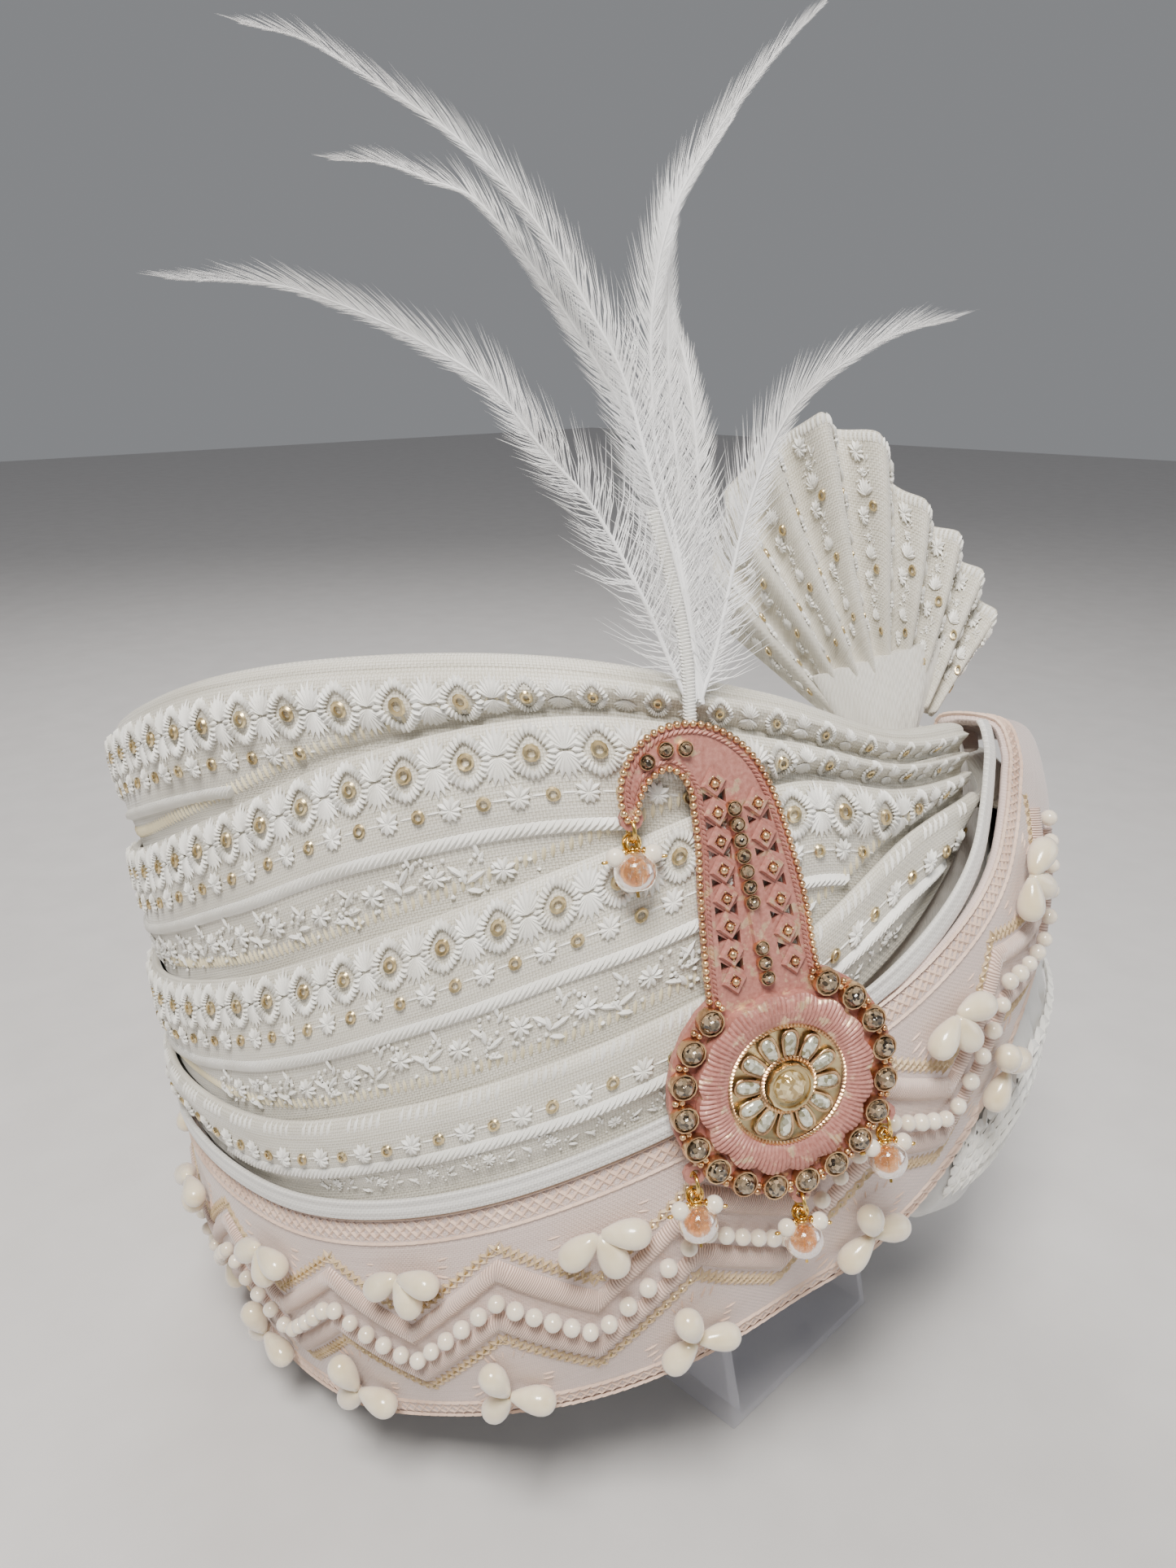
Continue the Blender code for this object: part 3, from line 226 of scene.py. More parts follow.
STUD_COLUMNS = ((-0.076, -0.022, 0.318, 0.835, 8), (0.092, 0.078, 0.318, 0.755, 6))
SPINE = (0.010, 0.014, 0.30, 0.76)
MEDALLION_DROPS = {"drop_2": 210.5, "drop_3": 267.5, "drop_4": 323.0}
HOOK_DROP = (-0.243, 0.805)
PLUME_FOOT = (-0.042, 0.996)

# Feathers in millimetres from the medallion's middle, tip last, and how far each tip leans forward
FEATHERS = {
    "left_tall": (
        ((0, 71), (0.5, 92), (-0.7, 107), (-2.2, 125), (-5.7, 136), (-10, 146.5), (-15.2, 155))
        + ((-21.5, 162), (-30.2, 169), (-38.6, 174.8), (-46.5, 177)),
        10,
    ),
    "left_short": (
        ((0.2, 74), (0.8, 96), (-1.0, 112), (-3.5, 123), (-8.5, 137), (-13.7, 148.5), (-17.7, 155.5))
        + ((-22.3, 159), (-29, 163.3), (-36.2, 165.7)),
        -12,
    ),
    "left_low": (
        ((-2.9, 73.5), (-4.3, 80), (-6.8, 91), (-12.1, 106.7), (-18.5, 117), (-24.6, 127))
        + ((-33.7, 134.6), (-42.7, 140), (-52, 143.8), (-64.7, 145.7)),
        22,
    ),
    "right_tall": (
        ((0.4, 73), (1.2, 98), (0.9, 112.6), (1.9, 120), (4.4, 132), (8.1, 141.7), (13, 149.4))
        + ((19.9, 156.3), (26.4, 161.8), (32.9, 166.6), (41, 171.5)),
        4,
    ),
    "right_slim": (
        ((-0.4, 72), (1.8, 94), (4.4, 110), (6.5, 124), (10.2, 138), (14.2, 148.5), (19.3, 153.1))
        + ((25.7, 158.3), (31.7, 163)),
        -14,
    ),
    "right_mid": (
        ((-1.3, 71.8), (4.4, 92.5), (7.7, 105.2), (11, 123.2), (11.8, 132.8), (14, 140.8))
        + ((19.9, 154.3),),
        -20,
    ),
    "right_low": (
        ((-0.4, 71.4), (3.9, 79), (13, 98.7), (19.1, 109), (24.4, 115.2), (31, 119), (39.4, 121.6))
        + ((47, 121.6),),
        16,
    ),
}

SEAT = (
    Matrix.Translation((-0.008, 0.012, 0.0345))
    @ Euler((-math.radians(13), -math.radians(7), 0.0)).to_matrix().to_4x4()
)


# Faces of the turban


def rows_of(matrix, points):
    """Points moved by a 4x4 matrix, as an array."""
    table = np.array(matrix)
    return points @ table[:3, :3].T + table[:3, 3]


def oval(angle, height, lift=0.0):
    """Points of the cap's outer wall, in the turban's own upright frame."""
    angle, height, lift = np.broadcast_arrays(*(np.asarray(v, float) for v in (angle, height, lift)))
    share = height / WALL_HEIGHT
    cosine, sine = np.cos(np.radians(angle)), np.sin(np.radians(angle))
    squarer = (np.abs(cosine) ** OVAL_POWER + np.abs(sine) ** OVAL_POWER) ** (-1 / OVAL_POWER)
    wide = RIM_HALF_WIDTH * SECTIONS.at(share, "width") * squarer + lift
    long = RIM_HALF_LENGTH * SECTIONS.at(share, "length") * squarer + lift
    shift = RIM_HALF_WIDTH * SECTIONS.at(share, "shift")
    return np.stack([shift + wide * cosine, -shift + long * sine, height], axis=-1)


def edge(angle, column):
    return WALL_HEIGHT * EDGES.at(angle, column)


def line_of(angle, name):
    """Height of a lap's edge, or of the ribbon's upper edge for the name 'ribbon'."""
    if name == "ribbon":
        return edge(angle, "border") + RIBBON_WIDTH + 2 * FACE_GAP
    return edge(angle, name)


class Face:
    """A face of cloth, read by the run along it, the distance down from its upper edge and the
    height off it. All are metres."""

    def __init__(self, place, first, last, level=0.004):
        self.place = place
        self.keys = np.linspace(first, last, 500)
        line = place(self.keys, np.full(500, level))
        steps = np.linalg.norm(np.diff(line, axis=0), axis=1)
        self.runs = np.concatenate(([0.0], np.cumsum(steps)))
        self.length = self.runs[-1]
        self.nudge = 0.002 * (last - first)

    def key(self, run):
        return np.interp(run, self.runs, self.keys)

    def run_at(self, key):
        return np.interp(key, self.keys, self.runs)

    def at(self, run, down, out=0.0):
        """Points in the row frame."""
        run, down, out = np.broadcast_arrays(*(np.asarray(v, float) for v in (run, down, out)))
        key = self.key(run)
        along = self.place(key + self.nudge, down) - self.place(key - self.nudge, down)
        below = self.place(key, down + 0.0004) - self.place(key, down - 0.0004)
        normal = np.cross(below, along)
        normal /= np.maximum(np.linalg.norm(normal, axis=-1, keepdims=True), 1e-12)
        return rows_of(SEAT, self.place(key, down) + normal * out[..., None])


def lap_face(upper, lower, seed):
    """The outer face of one wound lap, with the soft creases that winding leaves."""

    def place(angle, down):
        high, low = line_of(angle, upper), line_of(angle, lower)
        width = np.maximum(high - low, 0.002)
        share = np.clip(down / width, 0.0, 1.0)
        height = np.maximum(high - down, low + LAP_BEND)
        gentle = LINING_GAP + LAP_STEEPEST * (height - low - LAP_BEND)
        lift = np.minimum(LAP_RISE * LAP_PROFILE.at(share, "lift"), gentle) + CLOTH
        shoulder = np.clip(1.0 - down / 0.0016, 0.0, 1.0)
        crease = np.sin(0.16 * angle + 7.0 * share + seed)
        crease = crease + 0.6 * np.sin(0.41 * angle - 11.0 * share + 2 * seed)
        swell = 0.00028 * crease * np.sin(np.pi * share) ** 0.7
        return oval(angle, height, lift - 0.0010 * shoulder**2 + swell)

    return place


LAPS = {
    "wrap_1": ("top", "lap_2", 0.3),
    "wrap_2": ("lap_2", "lap_3", 1.9),
    "wrap_3": ("lap_3", "lap_4", 3.1),
    "wrap_4": ("lap_4", "ribbon", 4.6),
}
FIRST_ANGLE, LAST_ANGLE = -72, 280
LAP_FACES = {name: Face(lap_face(*spec), FIRST_ANGLE, LAST_ANGLE) for name, spec in LAPS.items()}


def lap_width(name, angle):
    upper, lower, _ = LAPS[name]
    return line_of(angle, upper) - line_of(angle, lower)


COURSE = [(a, float(edge(a, "border")), a, float(edge(a, "rim")), 0.0) for a in range(-24, 253, 12)]
COURSE += [(a, h * WALL_HEIGHT, b, g * WALL_HEIGHT, r * LAP_RISE) for a, h, b, g, r in SASH_ROWS]
BORDER = Chart(
    ("step", "upper_angle", "upper", "lower_angle", "lower", "rise"),
    *((step, *row) for step, row in enumerate(COURSE)),
)
LAST_STEP = len(COURSE) - 1


def border_spot(step, down, lift):
    """A place on the border's course: down is 0 at its upper edge and 1 at its lower."""
    read = {name: BORDER.at(step, name) for name in BORDER.columns[1:]}
    angle = read["upper_angle"] + down * (read["lower_angle"] - read["upper_angle"])
    height = read["upper"] + down * (read["lower"] - read["upper"])
    return oval(angle, height, lift + read["rise"])


def border_width(step):
    return np.linalg.norm(border_spot(step, 0.0, 0.0) - border_spot(step, 1.0, 0.0), axis=-1)


def border_place(step, down):
    share = down / border_width(step)
    crown = BORDER_CREST * np.sin(np.pi * np.clip(share, 0.0, 1.0))
    return border_spot(step, share, BORDER_LIFT + BORDER_CLOTH + crown)


BORDER_FACE = Face(border_place, 0, LAST_STEP, 0.025)


def ribbon_place(step, down):
    """The ribbon's face: down runs from its upper edge, which is above the border."""
    share = -(2 * FACE_GAP + RIBBON_WIDTH - down) / border_width(step)
    lift = RIBBON_LIFT + RIBBON_CLOTH - 0.45 * BORDER.at(step, "rise")
    ripple = 0.00016 * np.sin(2 * np.pi * down / RIBBON_WIDTH * 2.0)
    ripple = ripple - 0.8 * np.clip(down - RIBBON_WIDTH, 0.0, 0.002)
    return border_spot(step, share, lift + ripple)


RIBBON_FACE = Face(ribbon_place, 0, LAST_STEP - 2, 0.002)


def straight_course(step, down):
    """The border's middle as straight runs between its stations, by which the pearls are spaced."""
    low = min(max(int(step), 0), LAST_STEP - 1)
    share = step - low
    a, b = COURSE[low], COURSE[low + 1]
    upper_angle, upper, lower_angle, lower, rise = (p + share * (q - p) for p, q in zip(a, b))
    angle = upper_angle + down * (lower_angle - upper_angle)
    return oval(angle, upper + down * (lower - upper), rise)


def run_from_anchor():
    total = [0.0]
    for step in range(1, LAST_STEP + 1):
        total.append(total[-1] + np.linalg.norm(straight_course(step, 0.5) - straight_course(step - 1, 0.5)))
    return np.array(total) - np.interp(PEARL_ANCHOR_STEP, range(LAST_STEP + 1), total)


RUN = run_from_anchor()
FIRST_HALF = math.ceil((RUN[1] + 0.012) / (0.5 * STRING_PERIOD))
LAST_HALF = math.floor((RUN[-4] - 0.002) / (0.5 * STRING_PERIOD))
HALVES = range(FIRST_HALF, LAST_HALF + 1)


def step_of_half(half):
    return np.interp(half * 0.5 * STRING_PERIOD, RUN, np.arange(LAST_STEP + 1))


def zigzag(shift, spacing):
    """Run and distance down along the zigzag, moved down by a share of the border's width."""
    steps = np.array([step_of_half(half) for half in HALVES])
    shares = np.array([STRING_PEAK if half % 2 == 0 else STRING_VALLEY for half in HALVES]) + shift
    runs = BORDER_FACE.run_at(steps)
    downs = shares * border_width(steps)
    lengths = np.concatenate(([0.0], np.cumsum(np.hypot(np.diff(runs), np.diff(downs)))))
    count = int(lengths[-1] / spacing)
    marks = np.linspace(0.0, lengths[-1], count + 1)
    return np.interp(marks, lengths, runs), np.interp(marks, lengths, downs)


def fan_frame():
    root = Vector(oval(FAN_ANGLE, CAP_HEIGHT - FAN_ROOT_DROP, -FAN_INSET))
    facing = math.radians(FAN_FACING)
    normal = Vector((math.cos(facing), math.sin(facing), 0.0))
    return root, Vector((0, 0, 1)).cross(normal), normal


def fan_place(column, down):
    """The fan's face: column counts half pleats, down is measured in from the outer edge."""
    root, across, normal = (np.array(v) for v in fan_frame())
    first, last = FAN_EDGE.keys[0], FAN_EDGE.keys[-1]
    angle = last + (first - last) * column / (2 * FAN_PLEATS)
    wave = -np.cos(np.pi * column)
    ridge = np.sign(wave) * np.abs(wave) ** 0.75
    full = FAN_EDGE.at(angle, "reach") * FAN_REACH * (1.0 + 0.012 * wave)
    reach = np.maximum(full - down, FAN_LEAF_START * FAN_REACH * 0.4)
    share = reach / FAN_REACH
    fold = FAN_FOLD * share * ridge + 0.0007 * np.sin(9 * share + 0.8 * column)
    turn = np.radians(angle)
    flat = across * np.cos(turn)[..., None] + np.array((0, 0, 1)) * np.sin(turn)[..., None]
    return root + flat * reach[..., None] + normal * fold[..., None]


FAN_FACE = Face(fan_place, 0, 2 * FAN_PLEATS, 0.004)


def brooch_plane():
    """Across, up and out of the brooch, with the medallion's middle as origin, in the row frame."""
    low = Vector(oval(245, BROOCH_MIDDLE_HEIGHT, BROOCH_LIFT))
    high = Vector(oval(242, BROOCH_TOP_HEIGHT, BROOCH_LIFT))
    up = (high - low).normalized()
    out = Vector((math.cos(math.radians(243)), math.sin(math.radians(243)), 0.0))
    out = (out - up * out.dot(up)).normalized()
    across = up.cross(out)
    matrix = Matrix((across, up, out)).transposed().to_4x4()
    matrix.translation = low + across * BROOCH_SIDESTEP
    return SEAT @ matrix


BROOCH = brooch_plane()


# Working by hand: primitives, edit-mode steps, copies


def only(obj):
    """Selects one object and nothing else."""
    bpy.ops.object.select_all(action="DESELECT")
    obj.select_set(True)
    bpy.context.view_layer.objects.active = obj
    return obj


def start(kind, **sizes):
    """A primitive at its size and place, alone in the selection."""
    bpy.ops.object.select_all(action="DESELECT")
    getattr(bpy.ops.mesh, f"primitive_{kind}_add")(**sizes)
    return bpy.context.object


def worked(obj, test, *steps):
    """Runs edit-mode operators, with their options, on the faces that pass a test."""
    only(obj)
    bpy.ops.object.mode_set(mode="EDIT")
    bpy.ops.mesh.select_mode(type="FACE")
    bpy.ops.mesh.select_all(action="DESELECT")
    bpy.ops.object.mode_set(mode="OBJECT")
    for polygon in obj.data.polygons:
        polygon.select = bool(test(polygon))
    bpy.ops.object.mode_set(mode="EDIT")
    for operator, options in steps:
        operator(**options)
    bpy.ops.object.mode_set(mode="OBJECT")
    return obj


def modified(obj, kind, **settings):
    """A modifier, set and applied."""
    only(obj)
    modifier = obj.modifiers.new("work", kind)
    for name, value in settings.items():
        setattr(modifier, name, value)
    bpy.ops.object.modifier_apply(modifier=modifier.name)
    return obj


def rounder(obj, levels=1):
    return modified(obj, "SUBSURF", levels=levels, render_levels=levels)


class Shape:
    """A worked pattern's points and faces, from which copies are laid."""

    def __init__(self, obj):
        mesh = obj.data
        self.points = np.array([obj.matrix_world @ v.co for v in mesh.vertices])
        self.faces = [tuple(p.vertices) for p in mesh.polygons]
        bpy.data.objects.remove(obj, do_unlink=True)

    def moved(self, matrix):
        other = object.__new__(Shape)
        other.points = rows_of(matrix, self.points)
        other.faces = self.faces
        return other


def merged(shapes):
    """Several patterns as one."""
    other = object.__new__(Shape)
    other.points = np.concatenate([shape.points for shape in shapes])
    other.faces, base = [], 0
    for shape in shapes:
        other.faces += [tuple(i + base for i in face) for face in shape.faces]
        base += len(shape.points)
    return other


def piece(name, shape_points, shape_faces, finish, smooth=35):
    """One finished piece, riding on the turban's body."""
    mesh = bpy.data.meshes.new(name)
    mesh.from_pydata(shape_points.reshape(-1, 3).tolist(), [], shape_faces)
    obj = bpy.data.objects.new(name, mesh)
    bpy.context.scene.collection.objects.link(obj)
    return finished(obj, name, finish, smooth)


def finished(obj, name, finish, smooth=35):
    """Names, shades, dresses and mounts an object whose place is in its mesh."""
    obj.name = name
    obj.data.name = name
    obj.data.materials.clear()
    obj.data.materials.append(finish)
    only(obj)
    if smooth is None:
        bpy.ops.object.shade_flat()
    else:
        bpy.ops.object.shade_smooth_by_angle(angle=math.radians(smooth))
    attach(obj, "root")
    return obj


def copies(name, shape, places, finish, smooth=35):
    """A pattern set down at many places, joined into one piece."""
    sets = np.array([np.array(place) for place in places])
    points = np.einsum("nij,pj->npi", sets[:, :3, :3], shape.points) + sets[:, None, :3, 3]
    count = len(shape.points)
    faces = [tuple(i + k * count for i in face) for k in range(len(sets)) for face in shape.faces]
    return piece(name, points, faces, finish, smooth)


def laid(shape, face, spots):
    """A flat pattern bent onto a face at spots of run, distance down, turn and size."""
    spots = np.array(spots, float)
    turn, size = np.radians(spots[:, 2, None]), spots[:, 3, None]
    x, y, z = (shape.points[None, :, i] for i in range(3))
    along = (x * np.cos(turn) - y * np.sin(turn)) * size
    up = (x * np.sin(turn) + y * np.cos(turn)) * size
    points = face.at(spots[:, 0, None] + along, spots[:, 1, None] - up, z * size)
    count = len(shape.points)
    faces = [tuple(i + k * count for i in f) for k in range(len(spots)) for f in shape.faces]
    return points.reshape(-1, 3), faces


def embroidered(name, parts, finish, smooth=60):
    """Laid patterns, joined into one piece: parts are pairs of points and faces."""
    points, faces, base = [], [], 0
    for some_points, some_faces in parts:
        points.append(some_points)
        faces += [tuple(i + base for i in face) for face in some_faces]
        base += len(some_points)
    return piece(name, np.concatenate(points), faces, finish, smooth)


def cloth_sheet(name, columns, rows, place, thickness, finish, subdivisions=1):
    """A grid laid by place(along, down), both from 0 to 1, thickened inwards and softened."""
    obj = start("grid", x_subdivisions=columns, y_subdivisions=rows, size=2)
    count = len(obj.data.vertices)
    flat = np.empty(count * 3)
    obj.data.vertices.foreach_get("co", flat)
    flat = flat.reshape(-1, 3)
    along, down = 0.5 + 0.5 * flat[:, 0], 0.5 - 0.5 * flat[:, 1]
    points, runs, depths = place(along, down)
    obj.data.vertices.foreach_set("co", np.ascontiguousarray(points).ravel())
    layer = obj.data.uv_layers.active or obj.data.uv_layers.new(name="UVMap")
    corner = np.empty(len(obj.data.loops), int)
    obj.data.loops.foreach_get("vertex_index", corner)
    layer.data.foreach_set("uv", np.stack([runs[corner], depths[corner]], axis=1).ravel())
    obj.data.update()
    modified(obj, "SOLIDIFY", thickness=thickness, offset=-1.0, use_rim=True)
    if subdivisions:
        rounder(obj, subdivisions)
    return finished(obj, name, finish, 60)


def swept(points, radius, sides=6, closed=False, taper=None):
    """A round cord through points, as points and faces; taper gives the width at each point."""
    points = np.asarray(points, float)
    count = len(points)
    ahead = np.roll(points, -1, axis=0) if closed else np.vstack([points[1:], points[-1:]])
    behind = np.roll(points, 1, axis=0) if closed else np.vstack([points[:1], points[:-1]])
    along = ahead - behind
    along /= np.maximum(np.linalg.norm(along, axis=1, keepdims=True), 1e-12)
    guide = np.array((0.31, 0.22, 0.93))
    side = np.cross(along, guide)
    side /= np.linalg.norm(side, axis=1, keepdims=True)
    other = np.cross(along, side)
    width = radius * (np.ones(count) if taper is None else np.asarray(taper))
    turns = 2 * np.pi * np.arange(sides) / sides
    ring = side[:, None] * np.cos(turns)[None, :, None] + other[:, None] * np.sin(turns)[None, :, None]
    skin = points[:, None] + ring * width[:, None, None]
    faces = []
    for i in range(count if closed else count - 1):
        j = (i + 1) % count
        for k in range(sides):
            m = (k + 1) % sides
            faces.append((i * sides + k, i * sides + m, j * sides + m, j * sides + k))
    if not closed:
        faces.append(tuple(range(sides))[::-1])
        faces.append(tuple((count - 1) * sides + k for k in range(sides)))
    return skin.reshape(-1, 3), faces


# Finishes


class Finish:
    """A procedural material, built a node at a time."""

    def __init__(self, name, colour, roughness, metallic=0.0, **sockets):
        self.material = bpy.data.materials.new(name)
        self.material.use_nodes = True
        self.nodes = self.material.node_tree.nodes
        self.links = self.material.node_tree.links
        self.shader = self.nodes["Principled BSDF"]
        self.shader.inputs["Base Color"].default_value = (*colour, 1.0)
        self.shader.inputs["Roughness"].default_value = roughness
        self.shader.inputs["Metallic"].default_value = metallic
        for socket, value in sockets.items():
            target = self.shader.inputs[socket.replace("_", " ")]
            target.default_value = (*value, 1.0) if isinstance(value, tuple) else value
        self.normal = None

    def node(self, kind, *inputs, **settings):
        made = self.nodes.new(kind)
        for name, value in settings.items():
            setattr(made, name, value)
        for socket, value in inputs:
            if isinstance(value, bpy.types.NodeSocket):
                self.links.new(value, made.inputs[socket])
            else:
                made.inputs[socket].default_value = value
        return made

    def coords(self, source="Object", scale=(1.0, 1.0, 1.0), turn=0.0):
        where = self.node("ShaderNodeTexCoord").outputs[source]
        mapping = self.node("ShaderNodeMapping", ("Vector", where))
        mapping.inputs["Scale"].default_value = scale
        mapping.inputs["Rotation"].default_value = (0.0, 0.0, math.radians(turn))
        return mapping.outputs[0]

    def noise(self, vector, scale, detail=3.0, roughness=0.55):
        made = self.node(
            "ShaderNodeTexNoise",
            ("Vector", vector),
            ("Scale", scale),
            ("Detail", detail),
            ("Roughness", roughness),
        )
        return made.outputs["Fac"]

    def cells(self, vector, scale, feature="F1", output="Distance"):
        made = self.node("ShaderNodeTexVoronoi", ("Vector", vector), ("Scale", scale), feature=feature)
        return made.outputs[output]

    def maths(self, operation, first, second=0.0):
        made = self.node("ShaderNodeMath", (0, first), (1, second), operation=operation)
        return made.outputs[0]

    def stretch(self, value, low, high, to_low, to_high):
        made = self.node(
            "ShaderNodeMapRange",
            ("Value", value),
            ("From Min", low),
            ("From Max", high),
            ("To Min", to_low),
            ("To Max", to_high),
        )
        return made.outputs[0]

    def blend(self, share, first, second):
        made = self.node("ShaderNodeMix", data_type="RGBA")
        self.links.new(share, made.inputs[0])
        for socket, value in ((6, first), (7, second)):
            if isinstance(value, tuple):
                made.inputs[socket].default_value = (*value, 1.0)
            else:
                self.links.new(value, made.inputs[socket])
        return made.outputs[2]

    def weave(self, pitch, source="UV"):
        """Plain weave: threads over and under each other, at a pitch in metres."""
        spread = self.coords(source, (1 / pitch, 1 / pitch, 1 / pitch))
        parts = self.node("ShaderNodeSeparateXYZ", ("Vector", spread))
        waves = []
        for axis in (0, 1):
            turned = self.maths("MULTIPLY", parts.outputs[axis], math.pi)
            waves.append(self.maths("SINE", turned))
        over = self.maths("GREATER_THAN", self.maths("MULTIPLY", waves[0], waves[1]), 0.0)
        warp = self.maths("ABSOLUTE", waves[0])
        weft = self.maths("ABSOLUTE", waves[1])
        taken = self.maths("MULTIPLY", warp, over)
        rest = self.maths("MULTIPLY", weft, self.maths("SUBTRACT", 1.0, over))
        return self.maths("ADD", taken, rest)

    def colour(self, socket):
        self.links.new(socket, self.shader.inputs["Base Color"])

    def rough(self, socket):
        self.links.new(socket, self.shader.inputs["Roughness"])

    def bump(self, height, strength, distance):
        made = self.node("ShaderNodeBump", ("Height", height), ("Strength", strength), ("Distance", distance))
        if self.normal is not None:
            self.links.new(self.normal, made.inputs["Normal"])
        self.normal = made.outputs[0]
        self.links.new(self.normal, self.shader.inputs["Normal"])


def woven_silk(name, light, shade, pitch=0.00042, source="UV"):
    """Raw silk: plain weave with slubs along the weft, and a soft lustre; the dips between threads are
    painted darker as shade.
    """
    silk = Finish(name, light, 0.5, Sheen_Weight=0.35, Sheen_Roughness=0.4)
    weave = silk.weave(pitch, source)
    slubs = silk.noise(silk.coords(source, (60.0, 1500.0, 60.0)), 1.0, 4.0)
    clouds = silk.noise(silk.coords("Object"), 26.0, 2.0)
    # Painted shade: where the weave dips between threads the colour goes towards shade; the slubs and clouds
    # vary the thread's own tone.
    tone = silk.maths("ADD", silk.maths("MULTIPLY", weave, 0.4), silk.maths("MULTIPLY", slubs, 0.6))
    mixed = silk.blend(silk.stretch(tone, 0.25, 0.75, 0.0, 1.0), shade, light)
    silk.colour(silk.blend(silk.stretch(clouds, 0.35, 0.7, 0.0, 0.35), mixed, shade))
    silk.rough(silk.stretch(slubs, 0.3, 0.7, 0.58, 0.40))
    silk.bump(weave, 0.55, 0.00012)
    silk.bump(slubs, 0.35, 0.00012)
    silk.bump(clouds, 0.25, 0.0012)
    return silk.material


def satin_thread(name, light, shade, gloss=0.34):
    """Untwisted embroidery floss: lustrous, with fine strands."""
    thread = Finish(name, light, gloss, Sheen_Weight=0.4, Sheen_Roughness=0.35)
    strands = thread.noise(thread.coords("Object", (1.0, 1.0, 1.0)), 3800.0, 3.0)
    clouds = thread.noise(thread.coords("Object"), 90.0, 2.0)
    thread.colour(thread.blend(thread.stretch(clouds, 0.3, 0.7, 0.0, 1.0), shade, light))
    thread.rough(thread.stretch(strands, 0.3, 0.7, gloss - 0.08, gloss + 0.18))
    thread.bump(strands, 0.5, 0.00012)
    return thread.material


def stitched_pad(name, light, shade, pitch=0.00055):
    """Padded satin stitch: threads lie side by side across the pad, counted by its UV; the grooves between
    them are painted darker as shade.
    """
    pad = Finish(name, light, 0.42, Sheen_Weight=0.45, Sheen_Roughness=0.4)
    spread = pad.coords("UV", (1 / pitch, 0.0, 0.0))
    parts = pad.node("ShaderNodeSeparateXYZ", ("Vector", spread))
    wander = pad.noise(pad.coords("UV", (300.0, 300.0, 1.0)), 1.0, 2.0)
    place = pad.maths("ADD", parts.outputs[0], pad.maths("MULTIPLY", wander, 1.6))
    ridges_and_groove_shade = pad.maths("ABSOLUTE", pad.maths("SINE", pad.maths("MULTIPLY", place, math.pi)))
    # Painted shade: the grooves between the threads are coloured towards shade, the thread tops towards
    # light.
    pad.colour(pad.blend(ridges_and_groove_shade, shade, light))
    pad.rough(pad.stretch(ridges_and_groove_shade, 0.0, 1.0, 0.6, 0.36))
    pad.bump(ridges_and_groove_shade, 0.8, 0.00022)
    return pad.material


def pearly(name, light, shade):
    """Moulded pearl: a soft lustre under a clear coat, a little warmer in patches, with a paler rim painted
    on as sheen.
    """
    pearl = Finish(name, light, 0.24, Coat_Weight=0.8, Coat_Roughness=0.08, Sheen_Weight=0.15)
    pearl.shader.inputs["Subsurface Weight"].default_value = 0.15
    pearl.shader.inputs["Subsurface Radius"].default_value = (0.002, 0.0015, 0.001)
    pearl.shader.inputs["Subsurface Scale"].default_value = 0.5
    clouds = pearl.noise(pearl.coords("Object"), 180.0, 2.0)
    # Painted sheen: a paler colour is painted towards the pearl's outline by facing angle.
    rim = pearl.node("ShaderNodeLayerWeight", ("Blend", 0.35)).outputs["Facing"]
    base = pearl.blend(pearl.stretch(clouds, 0.3, 0.7, 0.0, 1.0), shade, light)
    pearl.colour(pearl.blend(rim, base, (0.93, 0.84, 0.76)))
    pearl.rough(pearl.stretch(clouds, 0.3, 0.7, 0.2, 0.3))
    return pearl.material


def brushed_gold(name, light, shade, roughness=0.26):
    """Gilt metal with tarnish in its pits."""
    gold = Finish(name, light, roughness, 1.0)
    pits = gold.noise(gold.coords("Object"), 900.0, 4.0)
    clouds = gold.noise(gold.coords("Object"), 160.0, 2.0)
    gold.colour(gold.blend(gold.stretch(clouds, 0.35, 0.65, 0.0, 1.0), light, shade))
    gold.rough(gold.stretch(pits, 0.3, 0.7, roughness - 0.06, roughness + 0.2))
    gold.bump(pits, 0.3, 0.0001)
    return gold.material


def rose_enamel():
    """Matt rose enamel over gilt, rubbed to the metal in scattered patches."""
    enamel = Finish("rose_enamel_worn", (0.56, 0.27, 0.23), 0.45, 0.15)
    grain = enamel.noise(enamel.coords("Object"), 1400.0, 4.0)
    worn = enamel.noise(enamel.coords("Object"), 420.0, 3.0)
    rubbed = enamel.stretch(worn, 0.57, 0.68, 0.0, 1.0)
    tone = enamel.blend(enamel.stretch(grain, 0.3, 0.7, 0.0, 1.0), (0.34, 0.13, 0.105), (0.48, 0.215, 0.175))
    enamel.colour(enamel.blend(rubbed, tone, (0.80, 0.58, 0.38)))
    enamel.links.new(enamel.stretch(rubbed, 0.0, 1.0, 0.1, 0.9), enamel.shader.inputs["Metallic"])
    enamel.rough(enamel.stretch(grain, 0.3, 0.7, 0.38, 0.58))
    enamel.bump(grain, 0.35, 0.0001)
    return enamel.material


def cut_glass(name, light, dark, scale=1500.0):
    """A foil-backed stone: its facets are painted light and dark at random as flashes of reflection, under a
    hard polish.
    """
    glass = Finish(name, light, 0.05, 0.35, Coat_Weight=1.0, Coat_Roughness=0.02, IOR=1.6)
    facets = glass.node(
        "ShaderNodeTexVoronoi", ("Vector", glass.coords("Object")), ("Scale", scale), feature="F1"
    )
    # Painted reflections: each facet cell is coloured light or dark at random in place of the light it would
    # flash.
    painted_facet_flash = glass.node("ShaderNodeSeparateColor", ("Color", facets.outputs["Color"])).outputs[0]
    glass.colour(glass.blend(glass.stretch(painted_facet_flash, 0.15, 0.85, 0.0, 1.0), dark, light))
    glass.rough(glass.stretch(painted_facet_flash, 0.0, 1.0, 0.03, 0.16))
    glass.bump(facets.outputs["Distance"], 0.35, 0.0003)
    return glass.material


